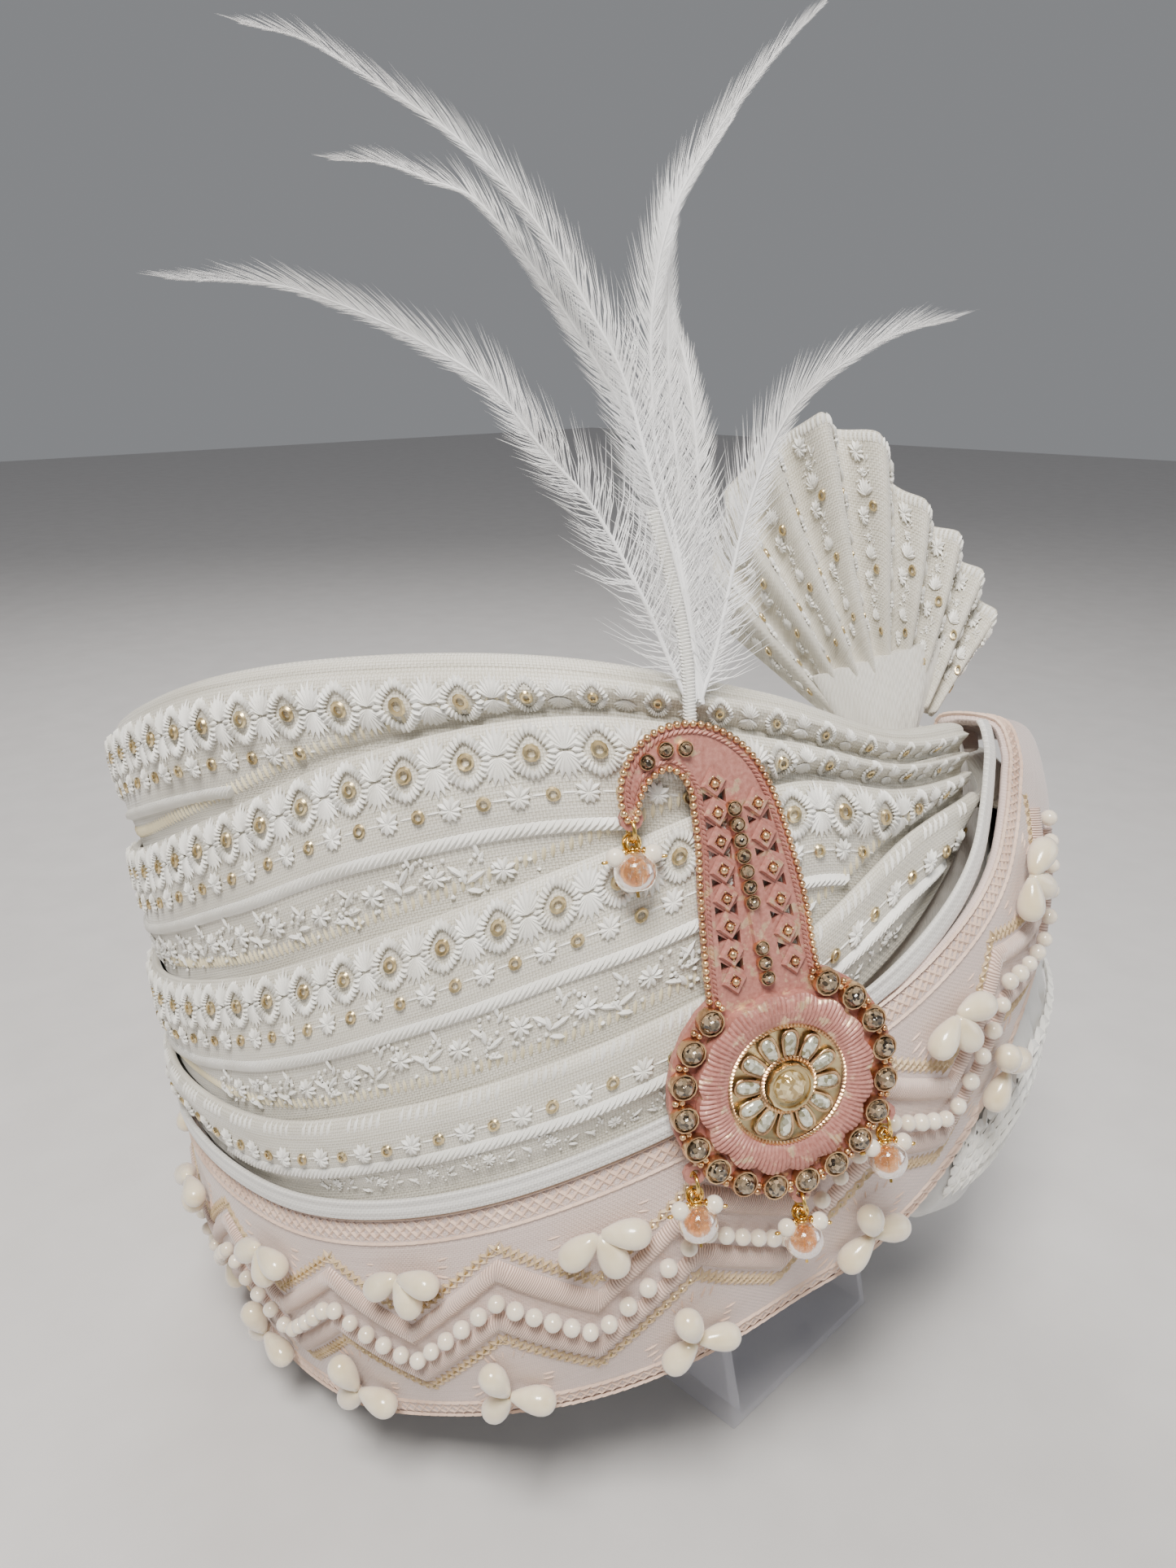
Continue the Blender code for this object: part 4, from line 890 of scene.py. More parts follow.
def crackled_amber():
    """Peach glass with pale cracks down its middle."""
    glass = Finish(
        "crackled_peach_glass", (0.85, 0.36, 0.12), 0.05, Transmission_Weight=0.8, IOR=1.45, Coat_Weight=0.6
    )
    cracks = glass.noise(glass.coords("Object", (2200.0, 2200.0, 180.0)), 1.0, 3.0)
    clouds = glass.noise(glass.coords("Object"), 220.0, 2.0)
    lines = glass.stretch(cracks, 0.56, 0.68, 0.0, 1.0)
    body = glass.blend(glass.stretch(clouds, 0.35, 0.65, 0.0, 1.0), (0.72, 0.28, 0.09), (0.92, 0.52, 0.26))
    glass.colour(glass.blend(lines, body, (0.97, 0.88, 0.80)))
    glass.rough(glass.stretch(lines, 0.0, 1.0, 0.05, 0.3))
    glass.bump(cracks, 0.25, 0.0002)
    return glass.material


def clear_acrylic():
    """Cast acrylic: clear, with faint polishing marks."""
    sheet = Finish("clear_acrylic_sheet", (0.80, 0.79, 0.86), 0.03, Alpha=0.26, Coat_Weight=0.8, IOR=1.49)
    marks = sheet.noise(sheet.coords("Object", (1.0, 1.0, 14.0)), 120.0, 3.0)
    haze = sheet.stretch(marks, 0.3, 0.7, 0.0, 1.0)
    sheet.colour(sheet.blend(haze, (0.74, 0.73, 0.82), (0.88, 0.88, 0.93)))
    sheet.rough(sheet.stretch(marks, 0.4, 0.8, 0.01, 0.06))
    return sheet.material


def feather_white():
    barb = Finish("white_hackle", (0.93, 0.93, 0.94), 0.55, Sheen_Weight=0.5, Sheen_Roughness=0.5)
    barb.shader.inputs["Subsurface Weight"].default_value = 0.25
    barb.shader.inputs["Subsurface Radius"].default_value = (0.002, 0.002, 0.002)
    barb.shader.inputs["Subsurface Scale"].default_value = 0.4
    tone = barb.noise(barb.coords("Object"), 60.0, 3.0)
    barb.colour(barb.blend(barb.stretch(tone, 0.3, 0.7, 0.0, 1.0), (0.86, 0.85, 0.84), (0.97, 0.97, 0.98)))
    barb.rough(barb.stretch(tone, 0.3, 0.7, 0.5, 0.65))
    return barb.material


IVORY = woven_silk("ivory_raw_silk", (0.80, 0.77, 0.69), (0.44, 0.40, 0.31), 0.0006)
CAP_SILK = woven_silk("cap_lining_silk", (0.76, 0.74, 0.69), (0.62, 0.59, 0.52), 0.0006, "Object")
BLUSH = woven_silk("blush_silk", (0.76, 0.62, 0.57), (0.56, 0.43, 0.39), 0.0005)
FAN_SILK = woven_silk("fan_silk", (0.80, 0.77, 0.69), (0.46, 0.42, 0.33), 0.0006)
SHEER = woven_silk("sheer_ribbon", (0.82, 0.80, 0.77), (0.62, 0.60, 0.56), 0.0006)
ROLL_SATIN = woven_silk("roll_satin", (0.82, 0.81, 0.79), (0.56, 0.55, 0.53), 0.0006)
WHITE_FLOSS = satin_thread("white_floss", (0.88, 0.87, 0.83), (0.78, 0.76, 0.70))
CREAM_FLOSS = satin_thread("cream_overcast", (0.80, 0.72, 0.50), (0.70, 0.61, 0.40), 0.45)
BLUSH_FLOSS = satin_thread("blush_floss", (0.80, 0.60, 0.48), (0.62, 0.43, 0.33), 0.45)
GOLD_FLOSS = satin_thread("old_gold_floss", (0.66, 0.50, 0.31), (0.46, 0.33, 0.18), 0.4)
BLUSH_PAD = stitched_pad("blush_satin_pad", (0.82, 0.60, 0.50), (0.46, 0.30, 0.24))
ZARI = brushed_gold("gold_sequin", (0.82, 0.68, 0.40), (0.60, 0.46, 0.24), 0.28)
PEARL = pearly("seed_pearl", (0.86, 0.77, 0.62), (0.72, 0.61, 0.45))
CREAM_PEARL = pearly("teardrop_pearl", (0.84, 0.74, 0.53), (0.70, 0.58, 0.36))
ENAMEL = rose_enamel()
ROSE_GOLD = brushed_gold("rose_gilt", (0.84, 0.58, 0.32), (0.52, 0.30, 0.17), 0.26)
GOLD = brushed_gold("bright_gilt_wire", (0.90, 0.62, 0.20), (0.72, 0.46, 0.12), 0.16)
SMOKY = cut_glass("smoky_stone", (0.40, 0.30, 0.19), (0.02, 0.013, 0.006))
CHAMPAGNE = cut_glass("champagne_stone", (0.80, 0.65, 0.36), (0.32, 0.21, 0.07), 1100.0)
CLEAR = cut_glass("foiled_clear_stone", (0.74, 0.74, 0.62), (0.24, 0.22, 0.13), 1300.0)
AMBER = crackled_amber()
FEATHER = feather_white()
GLASS = clear_acrylic()


# Patterns, worked once and copied


def placed(shape, x, y, turn=0.0, size=1.0, z=0.0):
    spin = Matrix.Rotation(math.radians(turn), 4, "Z")
    return shape.moved(Matrix.Translation((x, y, z)) @ spin @ Matrix.Scale(size, 4))


STITCH_SHOULDERS = (0.3, 0.7)


def stitch(length, width=0.0007, height=0.0007):
    """A light satin stitch along X: two tips and a four-sided middle."""
    shape = object.__new__(Shape)
    middle = []
    for share in STITCH_SHOULDERS:
        for quarter in range(4):
            turn = quarter * math.pi / 2
            middle.append((share * length, 0.5 * width * math.cos(turn), 0.5 * height * math.sin(turn)))
    shape.points = np.array([(0, 0, 0), *middle, (length, 0, 0)])
    shape.faces = [(0, 2, 1), (0, 3, 2), (0, 4, 3), (0, 1, 4)]
    shape.faces += [(1 + k, 1 + (k + 1) % 4, 5 + (k + 1) % 4, 5 + k) for k in range(4)]
    shape.faces += [(9, 5 + k, 5 + (k + 1) % 4) for k in range(4)]
    return shape


def ring_shape(radius, wire, segments=12, sides=5, lift=0.0):
    obj = start(
        "torus",
        major_radius=radius,
        minor_radius=wire,
        major_segments=segments,
        minor_segments=sides,
        location=(0, 0, lift),
    )
    return Shape(obj)


def eye_shape():
    """The satin eye of a lap's edge: stitches standing round a pointed opening."""
    parts = []
    for i in range(26):
        turn = 2 * math.pi * i / 26
        pull = 1.0 / (abs(math.cos(turn)) ** 1.3 + abs(math.sin(turn)) ** 1.3) ** 0.77
        x, y = 0.0026 * pull * math.cos(turn), 0.0030 * pull * math.sin(turn)
        lean = math.degrees(math.atan2(y, x))
        parts.append(placed(stitch(0.0021, 0.0010, 0.0014), x, y, lean, 1.0, 0.0004))
    return merged(parts)


def tuft_shape(count, spread, length, foot=0.0):
    """A fan of stitches from one point, opening upwards."""
    parts = []
    for i in range(count):
        turn = 90 + spread * (i / (count - 1) - 0.5)
        reach = length * (1.0 - 0.22 * abs(i / (count - 1) - 0.5) * 2)
        parts.append(placed(stitch(reach, 0.00095, 0.0008), 0.0, foot, turn, 1.0, 0.0003))
    return merged(parts)


def blossom_shape():
    """A small chikan blossom: a ring of short stitches, fuller above."""
    parts = []
    for i in range(10):
        turn = 36 * i
        reach = 0.0027 if 0 < turn < 180 else 0.0021
        parts.append(placed(stitch(reach, 0.0010, 0.0010), 0.0, 0.0, turn, 1.0, 0.0004))
    return merged(parts)


def sprig_shape(dice):
    """A spray of leaves, knots and a little flower."""
    parts = []
    for k in range(9):
        turn = 40 * k + dice.uniform(-8, 8)
        parts.append(placed(stitch(0.0024, 0.0009, 0.0011), 0.0004, 0.001, turn, 1.0, 0.0003))
    for x, y, turn, size in ((-0.006, -0.001, 150, 1.2), (0.006, 0.000, 35, 1.2), (-0.004, 0.003, 115, 0.9)):
        parts.append(placed(stitch(0.0034, 0.0009, 0.0007), x, y, turn, size, 0.0003))
        parts.append(placed(stitch(0.0026, 0.0009, 0.0007), x, y - 0.0012, turn - 42, size, 0.0003))
    for _ in range(16):
        x, y = dice.uniform(-0.008, 0.008), dice.uniform(-0.0035, 0.004)
        parts.append(placed(stitch(0.0010, 0.0008, 0.0008), x, y, dice.uniform(0, 180), 1.0, 0.0003))
    return merged(parts)


def spaced(face, first, last, pitch):
    """Runs at a pitch between two keys of a face."""
    low, high = face.run_at(first), face.run_at(last)
    count = max(int((high - low) / pitch), 1)
    return low + (np.arange(count) + 0.5) * (high - low) / count


# The stand and the cap


def display_stand():
    """The riser: four acrylic sheets in one tube, its edges eased."""
    corners = []
    for x, y in ((0, 0), (0.04, 0), (0, 0.04)):
        corners.append(SEAT @ Vector((x, y, CAP_HEIGHT + CAP_SLOPE_X * x + CAP_SLOPE_Y * y - SHELL_WALL)))
    a, b, c = corners
    normal = (b - a).cross(c - a).normalized()

    def ceiling(x, y, drop):
        slope = (normal.x * (x - a.x) + normal.y * (y - a.y)) / normal.z
        return a.z - slope - FACE_GAP / normal.z - drop

    half, deep = 0.5 * STAND_WIDTH, 0.5 * STAND_DEPTH
    obj = start("cube", size=2.0)
    worked(
        obj,
        lambda polygon: abs(polygon.normal.y) > 0.9,
        (bpy.ops.mesh.inset, dict(thickness=0.1)),
    )
    worked(
        obj,
        lambda polygon: abs(polygon.normal.y) > 0.9 and polygon.area < 3.5 and abs(polygon.center.x) < 0.1
        and abs(polygon.center.z) < 0.1,
        (bpy.ops.mesh.bridge_edge_loops, dict()),
    )
    for vert in obj.data.vertices:
        x, y, z = vert.co
        inner = abs(x) < 0.95 and abs(z) < 0.95
        wide = half - (ACRYLIC if inner else 0.0)
        low = ACRYLIC if inner else 0.0
        drop = ACRYLIC / normal.z if inner else 0.0
        px = math.copysign(wide, x)
        back = y > 0
        if z > 0:
            py = deep if back else -deep + STAND_SETBACK
            vert.co = (px, py, ceiling(px, py, drop))
        else:
            vert.co = (px, deep if back else -deep, low)
    modified(obj, "BEVEL", width=0.0004, segments=2, limit_method="ANGLE")
    finished(obj, "stand_acrylic", GLASS, 30)
    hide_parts("display_stand")


def cap_cloth():
    """The stiff cap: wall, flat top with gathers to its middle, and the inside."""
    angles = np.concatenate([np.linspace(FIRST_ANGLE, 276, 116), [280, 284]])
    middle = SECTIONS.at(CAP_HEIGHT / WALL_HEIGHT, "shift") * RIM_HALF_WIDTH
    centre = np.array((middle, -middle))

    def wall(share, lift):
        rim, top = edge(angles, "rim"), edge(angles, "top") - SHELL_TOP_DROP
        return oval(angles, rim + share * (top - rim), lift)

    def flat(share, drop, below):
        seat = oval(angles, CAP_HEIGHT, -SHELL_WALL)[:, :2] - centre
        spot = centre + share * seat
        gather = 0.0007 * np.sin(np.radians(angles) * 26) * (0.25 + share) * (below == 0)
        level = CAP_HEIGHT + CAP_SLOPE_X * spot[:, 0] + CAP_SLOPE_Y * spot[:, 1] - drop - below - abs(gather)
        return np.column_stack([spot, level])

    def shoulder(below):
        seat = oval(angles, CAP_HEIGHT, -SHELL_WALL)
        level = CAP_HEIGHT + CAP_SLOPE_X * seat[:, 0] + CAP_SLOPE_Y * seat[:, 1] - CAP_EDGE_DROP - below
        return oval(angles, level, -SHELL_WALL)

    upper = [flat(s, 0.0, 0.0) for s in (0.04, 0.12, 0.24, 0.36, 0.48, 0.60, 0.72)]
    lower = [flat(s, 0.0, SHELL_WALL) for s in (0.72, 0.36, 0.04)]
    rings = upper + [
        flat(0.80, 0.30 * CAP_SHOULDER_DROP, 0.0),
        flat(0.86, CAP_SHOULDER_DROP, 0.0),
        flat(0.94, 2.2 * CAP_SHOULDER_DROP, 0.0),
        shoulder(0.0),
        wall(0.75, -SHELL_WALL) * 0.5 + shoulder(0.0) * 0.5,
        wall(1.0, -SHELL_WALL),
        wall(1.0, 0.0),
    ]
    rings += [wall(s, 0.0) for s in (0.8, 0.6, 0.4, 0.2, 0.0)]
    rings += [wall(s, -SHELL_WALL) for s in (0.0, 0.14, 0.28)]
    rings += [shoulder(SHELL_WALL), flat(0.86, CAP_SHOULDER_DROP, SHELL_WALL), *lower]
    count = len(angles)
    points = rows_of(SEAT, np.concatenate(rings))
    faces = []
    for r in range(len(rings) - 1):
        for i in range(count):
            j = (i + 1) % count
            faces.append((r * count + i, (r + 1) * count + i, (r + 1) * count + j, r * count + j))
    faces.append(tuple(range(count)))
    faces.append(tuple((len(rings) - 1) * count + i for i in range(count))[::-1])
    obj = piece("cap_silk", points, faces, CAP_SILK, 50)
    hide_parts("crown_shell")


# The wound laps

# Shares of the top lap's columns that go over the wall's edge, and of those the part inside it
TOP_ROLL = 0.30
INSIDE_SHARE = 0.35
TOP_INSIDE = 0.0065
TOP_ARCH = 0.0024


def wound_laps():
    """Four laps of silk: each folds in at its upper edge and tucks under the next."""
    for name, face in LAP_FACES.items():
        upper, lower, _ = LAPS[name]

        def place(along, down, face=face, upper=upper, lower=lower):
            angle = FIRST_ANGLE + along * (LAST_ANGLE - FIRST_ANGLE)
            width = line_of(angle, upper) - line_of(angle, lower)
            fold = np.clip(1.0 - down / 0.06, 0.0, 1.0)
            share = np.clip((down - 0.06) / 0.82, 0.0, 1.0)
            tuck = np.clip((down - 0.88) / 0.12, 0.0, 1.0)
            depth = share * width
            points = face.place(angle, depth)
            under = oval(angle, line_of(angle, lower) - LAP_TUCK, LINING_GAP + CLOTH)
            points = points + (under - points) * tuck[:, None]
            inward = oval(angle, line_of(angle, upper) - 0.0002, LINING_GAP + CLOTH + 0.0008)
            points = points + (inward - points) * fold[:, None]
            return rows_of(SEAT, points), face.run_at(angle), depth + tuck * LAP_TUCK

        def top_place(along, down, face=face):
            """The top lap also rolls over the wall's edge and down inside it."""
            angle = FIRST_ANGLE + along * (LAST_ANGLE - FIRST_ANGLE)
            rolled = np.clip(down / TOP_ROLL, 0.0, 1.0)
            rest = np.clip((down - TOP_ROLL) / (1 - TOP_ROLL), 0.0, 1.0)
            outer, _, depth = place(along, rest)
            high = edge(angle, "top")
            inner_height = high - TOP_INSIDE * (1 - rolled / INSIDE_SHARE)
            inner = oval(angle, inner_height, -SHELL_WALL + 0.0002)
            reach = 0.5 * (LAP_RISE * 0.72 + CLOTH - 0.0010 + SHELL_WALL)
            middle = 0.5 * (LAP_RISE * 0.72 + CLOTH - 0.0010 - SHELL_WALL)
            turn = np.pi * (1.0 - np.clip((rolled - INSIDE_SHARE) / (1 - INSIDE_SHARE), 0, 1))
            arc = oval(angle, high + TOP_ARCH * np.sin(turn), middle + reach * np.cos(turn))
            over = np.where((rolled < INSIDE_SHARE)[:, None], inner, arc)
            points = np.where((down < TOP_ROLL)[:, None], rows_of(SEAT, over), outer)
            return points, face.run_at(angle), depth - 0.012 * (1 - rolled)

        width = np.mean(lap_width(name, np.linspace(FIRST_ANGLE, LAST_ANGLE, 50)))
        is_top = name == "wrap_1"
        obj = cloth_sheet(
            f"{name}_silk", 230, 26 if is_top else 15, top_place if is_top else place, CLOTH * 0.9, IVORY
        )
        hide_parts(name)


EYE_PITCH = 0.0112
BLOSSOM_PITCH = 0.0118
BRAID_PITCH = 0.0013
SPRIG_PITCH = 0.0125


def visible(name, face, runs, depth, margin):
    """Runs at which a row of that depth still shows above the next lap."""
    width = lap_width(name, face.key(runs))
    return runs[width > depth + margin]


def lap_embroidery():
    """Rows down each lap: satin eyes with tufts between, blossoms and rings, a braid, sprigs."""
    eye, sequin = eye_shape(), ring_shape(0.00115, 0.00042, 10, 5, 0.0006)
    tuft = merged([tuft_shape(9, 124, 0.0052, 0.0002), placed(tuft_shape(9, 124, 0.0052, 0.0002), 0, 0, 180)])
    blossom, ring = blossom_shape(), ring_shape(0.0010, 0.00034, 10, 5, 0.0004)
    slant = stitch(0.0044, 0.0017, 0.0020)
    dash = stitch(0.0030, 0.0009, 0.0008)
    overcast = stitch(0.0030, 0.0008, 0.0008)
    sprigs = [sprig_shape(np.random.default_rng(seed)) for seed in (1, 2, 3)]
    for name, face in LAP_FACES.items():
        white, gold, cream = [], [], []
        low_edge = name == "wrap_4"
        if low_edge:
            rows = dict(blossom=0.0076, braid=0.0120, sprig=0.0162)
            runs = spaced(face, FIRST_ANGLE + 2, LAST_ANGLE - 4, 0.0019)
            spots = [(run, 0.0030, 74, 1.0) for k, run in enumerate(runs) if k % 7 < 5]
            white.append(laid(dash, face, spots))
        else:
            rows = dict(blossom=0.0132, braid=0.0196, sprig=0.0265)
            runs = visible(name, face, spaced(face, FIRST_ANGLE + 2, LAST_ANGLE - 4, EYE_PITCH), 0.0, 0.0042)
            for motif, shift, bag in ((eye, 0.0, white), (sequin, 0.0, gold), (tuft, 0.5 * EYE_PITCH, white)):
                width = lap_width(name, face.key(runs + shift))
                spots = zip(runs + shift, np.minimum(0.0056, 0.52 * width), np.minimum(1.0, width / 0.0108))
                bag.append(laid(motif, face, [(run, depth, 0, size) for run, depth, size in spots]))
        runs = spaced(face, FIRST_ANGLE + 2, LAST_ANGLE - 3, BLOSSOM_PITCH)
        runs = visible(name, face, runs, rows["blossom"], 0.003)
        if len(runs):
            white.append(laid(blossom, face, [(run, rows["blossom"], 0, 1.0) for run in runs]))
            spots = [(run + 0.5 * BLOSSOM_PITCH, rows["blossom"], 0, 1.0) for run in runs]
            gold.append(laid(ring, face, spots))
            link = stitch(0.0034, 0.0004, 0.0004)
            spots = [(run + side, rows["blossom"], 0, 1.0) for run in runs for side in (0.0020, 0.0070)]
            white.append(laid(link, face, spots))
        runs = spaced(face, FIRST_ANGLE + 2, LAST_ANGLE - 3, BRAID_PITCH)
        runs = visible(name, face, runs, rows["braid"], 0.0025)
        if len(runs):
            white.append(laid(slant, face, [(run, rows["braid"] + 0.0010, 38, 1.0) for run in runs]))
        runs = spaced(face, FIRST_ANGLE + 2, LAST_ANGLE - 3, SPRIG_PITCH)
        runs = visible(name, face, runs, rows["sprig"], 0.0016)
        for k, run in enumerate(runs):
            wander = DICE.uniform(-0.001, 0.001)
            size = 0.62 if low_edge else 1.05
            turn = DICE.uniform(-16, 16)
            white.append(laid(sprigs[k % 3], face, [(run, rows["sprig"] + wander, turn, size)]))
        runs = spaced(face, FIRST_ANGLE + 2, LAST_ANGLE - 3, 0.0017)
        width = lap_width(name, face.key(runs))
        keep = width > 0.008
        seam = [
            (run, low - 0.0016, 90 + 10 * math.sin(40 * run), 1.0)
            for run, low in zip(runs[keep], width[keep])
        ]
        if not low_edge:
            cream.append(laid(overcast, face, seam))
        satin = embroidered(f"{name}_floss", white, WHITE_FLOSS)
        if gold:
            embroidered(f"{name}_sequins", gold, ZARI)
        if cream:
            embroidered(f"{name}_overcast", cream, CREAM_FLOSS)


# The border


def border_cloth():
    def place(along, down):
        step = along * LAST_STEP
        width = border_width(step)
        points = border_place(step, down * width)
        return rows_of(SEAT, points), BORDER_FACE.run_at(step), down * width

    obj = cloth_sheet("border_silk", 200, 16, place, BORDER_CLOTH * 0.95, BLUSH)
    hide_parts("border_band")
    width = float(np.mean(border_width(np.linspace(0, LAST_STEP, 60))))

    def ribbon(along, down):
        step = along * (LAST_STEP - 2)
        raised = np.clip((BORDER.at(step, "rise") - 0.003) / 0.002, 0.0, 1.0)
        depth = down * (RIBBON_WIDTH + 0.0035 * raised)
        return rows_of(SEAT, ribbon_place(step, depth)), RIBBON_FACE.run_at(step), depth

    obj = cloth_sheet("ribbon_sheer", 190, 8, ribbon, RIBBON_CLOTH * 0.8, SHEER)
    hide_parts("ribbon_piping")


# Share across the band, and share of its rise; a level below zero is in metres, into the cloth
PAD_SECTION = (
    (-0.5, -0.0002), (-0.42, 0.55), (-0.2, 0.93), (0.0, 1.0), (0.2, 0.93), (0.42, 0.55), (0.5, -0.0002)
)


def padded_zigzag(shift, width=0.0045, rise=0.0015):
    """A padded satin band along the zigzag, its corners mitred: points, faces, metres along it."""
    steps = np.array([step_of_half(half) for half in HALVES])
    shares = np.array([STRING_PEAK if half % 2 == 0 else STRING_VALLEY for half in HALVES]) + shift
    runs, downs = BORDER_FACE.run_at(steps), shares * border_width(steps)
    fine_runs, fine_downs = [], []
    for i in range(len(runs) - 1):
        for t in np.linspace(0, 1, 9)[:-1]:
            fine_runs.append(runs[i] + t * (runs[i + 1] - runs[i]))
            fine_downs.append(downs[i] + t * (downs[i + 1] - downs[i]))
    fine_runs.append(runs[-1])
    fine_downs.append(downs[-1])
    line = np.column_stack([fine_runs, fine_downs])
    marks = np.concatenate(([0.0], np.cumsum(np.linalg.norm(np.diff(line, axis=0), axis=1))))
    ahead = np.vstack([line[1:] - line[:-1], line[-1:] - line[-2:-1]])
    ahead /= np.linalg.norm(ahead, axis=1, keepdims=True)
    behind = np.vstack([ahead[:1], ahead[:-1]])
    bisector = ahead + behind
    bisector /= np.linalg.norm(bisector, axis=1, keepdims=True)
    side = np.column_stack([-bisector[:, 1], bisector[:, 0]])
    mitre = 1.0 / np.maximum(np.abs((bisector * ahead).sum(axis=1)), 0.6)
    rings = []
    for share, up in PAD_SECTION:
        spot = line + side * (share * width * mitre)[:, None]
        rings.append(BORDER_FACE.at(spot[:, 0], spot[:, 1], up * rise if up > 0 else up))
    points = np.stack(rings, axis=1)
    count, wide = len(line), len(PAD_SECTION)
    faces = []
    for i in range(count - 1):
        for k in range(wide):
            m = (k + 1) % wide
            faces.append((i * wide + k, i * wide + m, (i + 1) * wide + m, (i + 1) * wide + k))
    faces.append(tuple(range(wide))[::-1])
    faces.append(tuple((count - 1) * wide + k for k in range(wide)))
    return points.reshape(-1, 3), faces, np.repeat(marks, wide)


def with_uv(obj, runs):
    """Gives a piece a UV map that counts metres along it."""
    layer = obj.data.uv_layers.new(name="UVMap")
    corner = np.empty(len(obj.data.loops), int)
    obj.data.loops.foreach_get("vertex_index", corner)
    layer.data.foreach_set("uv", np.stack([runs[corner], np.zeros(len(corner))], axis=1).ravel())
    return obj


PAD_SHIFT = 0.105
CROSS_SHIFT = 0.195


def border_embroidery():
    """Lattice strips, zigzags of crossed gold stitches and padded zigzags."""
    for number, shift in enumerate((-PAD_SHIFT, PAD_SHIFT)):
        points, faces, marks = padded_zigzag(shift)
        obj = piece(f"border_pad_{number + 1}", points, faces, BLUSH_PAD, 60)
        with_uv(obj, marks)
    cross, bead = [], []
    stroke = stitch(0.0044, 0.0008, 0.0009)
    dot = stitch(0.0011, 0.0009, 0.0009)
    for shift in (-CROSS_SHIFT, CROSS_SHIFT):
        runs, downs = zigzag(shift, 0.0021)
        tilt = np.degrees(np.arctan2(-np.gradient(downs), np.gradient(runs)))
        spots = []
        for run, down, turn in zip(runs, downs, tilt):
            for lean in (48, 132):
                half = np.radians(turn + lean)
                foot_run = run - 0.0022 * math.cos(half)
                foot_down = down + 0.0022 * math.sin(half)
                spots.append((foot_run, foot_down, turn + lean, 1.0))
        cross.append(laid(stroke, BORDER_FACE, spots))
        bead.append(laid(dot, BORDER_FACE, [(r, d, t, 1.0) for r, d, t in zip(runs, downs, tilt)]))
    embroidered("border_gold_crosses", cross, GOLD_FLOSS)
    embroidered("border_gold_dots", bead, ZARI)
    lattice = []
    strand = stitch(0.0068, 0.0009, 0.0008)
    for depth, size in ((0.0034, 1.0), (None, 0.78)):
        runs = np.arange(0.002, BORDER_FACE.length - 0.003, 0.0026)
        steps = BORDER_FACE.key(runs)
        downs = np.full(len(runs), depth) if depth else border_width(steps) - 0.0030
        reach = 0.0034 * size
        spots = [(r - reach * 0.7, d + reach * 0.7, 45, size) for r, d in zip(runs, downs)]
        spots += [(r + reach * 0.7, d + reach * 0.7, 135, size) for r, d in zip(runs, downs)]
        lattice.append(laid(strand, BORDER_FACE, spots))
        edge_line = stitch(0.0046, 0.0009, 0.0009)
        for off in (-2.9 * size, 2.9 * size):
            spots = [(r - 0.0023, d + 0.001 * off, 0, 1.0) for r, d in zip(runs, downs)]
            lattice.append(laid(edge_line, BORDER_FACE, spots))
    embroidered("border_lattice", lattice, BLUSH_FLOSS)


def teardrop():
    """A teardrop pearl along X, its tip at the origin."""
    obj = start("uv_sphere", segments=16, ring_count=10, radius=0.5 * DROP_PEARL_WIDTH)
    worked(
        obj,
        lambda polygon: polygon.center.z > 0.45 * DROP_PEARL_WIDTH,
        (
            bpy.ops.transform.translate,
            dict(
                value=(0, 0, DROP_PEARL_LENGTH - DROP_PEARL_WIDTH),
                use_proportional_edit=True,
                proportional_edit_falloff="SHARP",
                proportional_size=0.9 * DROP_PEARL_WIDTH,
            ),
        ),
    )
    shape = Shape(obj)
    top = shape.points[:, 2].max()
    shape.points = np.column_stack([top - shape.points[:, 2], shape.points[:, 1], shape.points[:, 0]])
    return shape


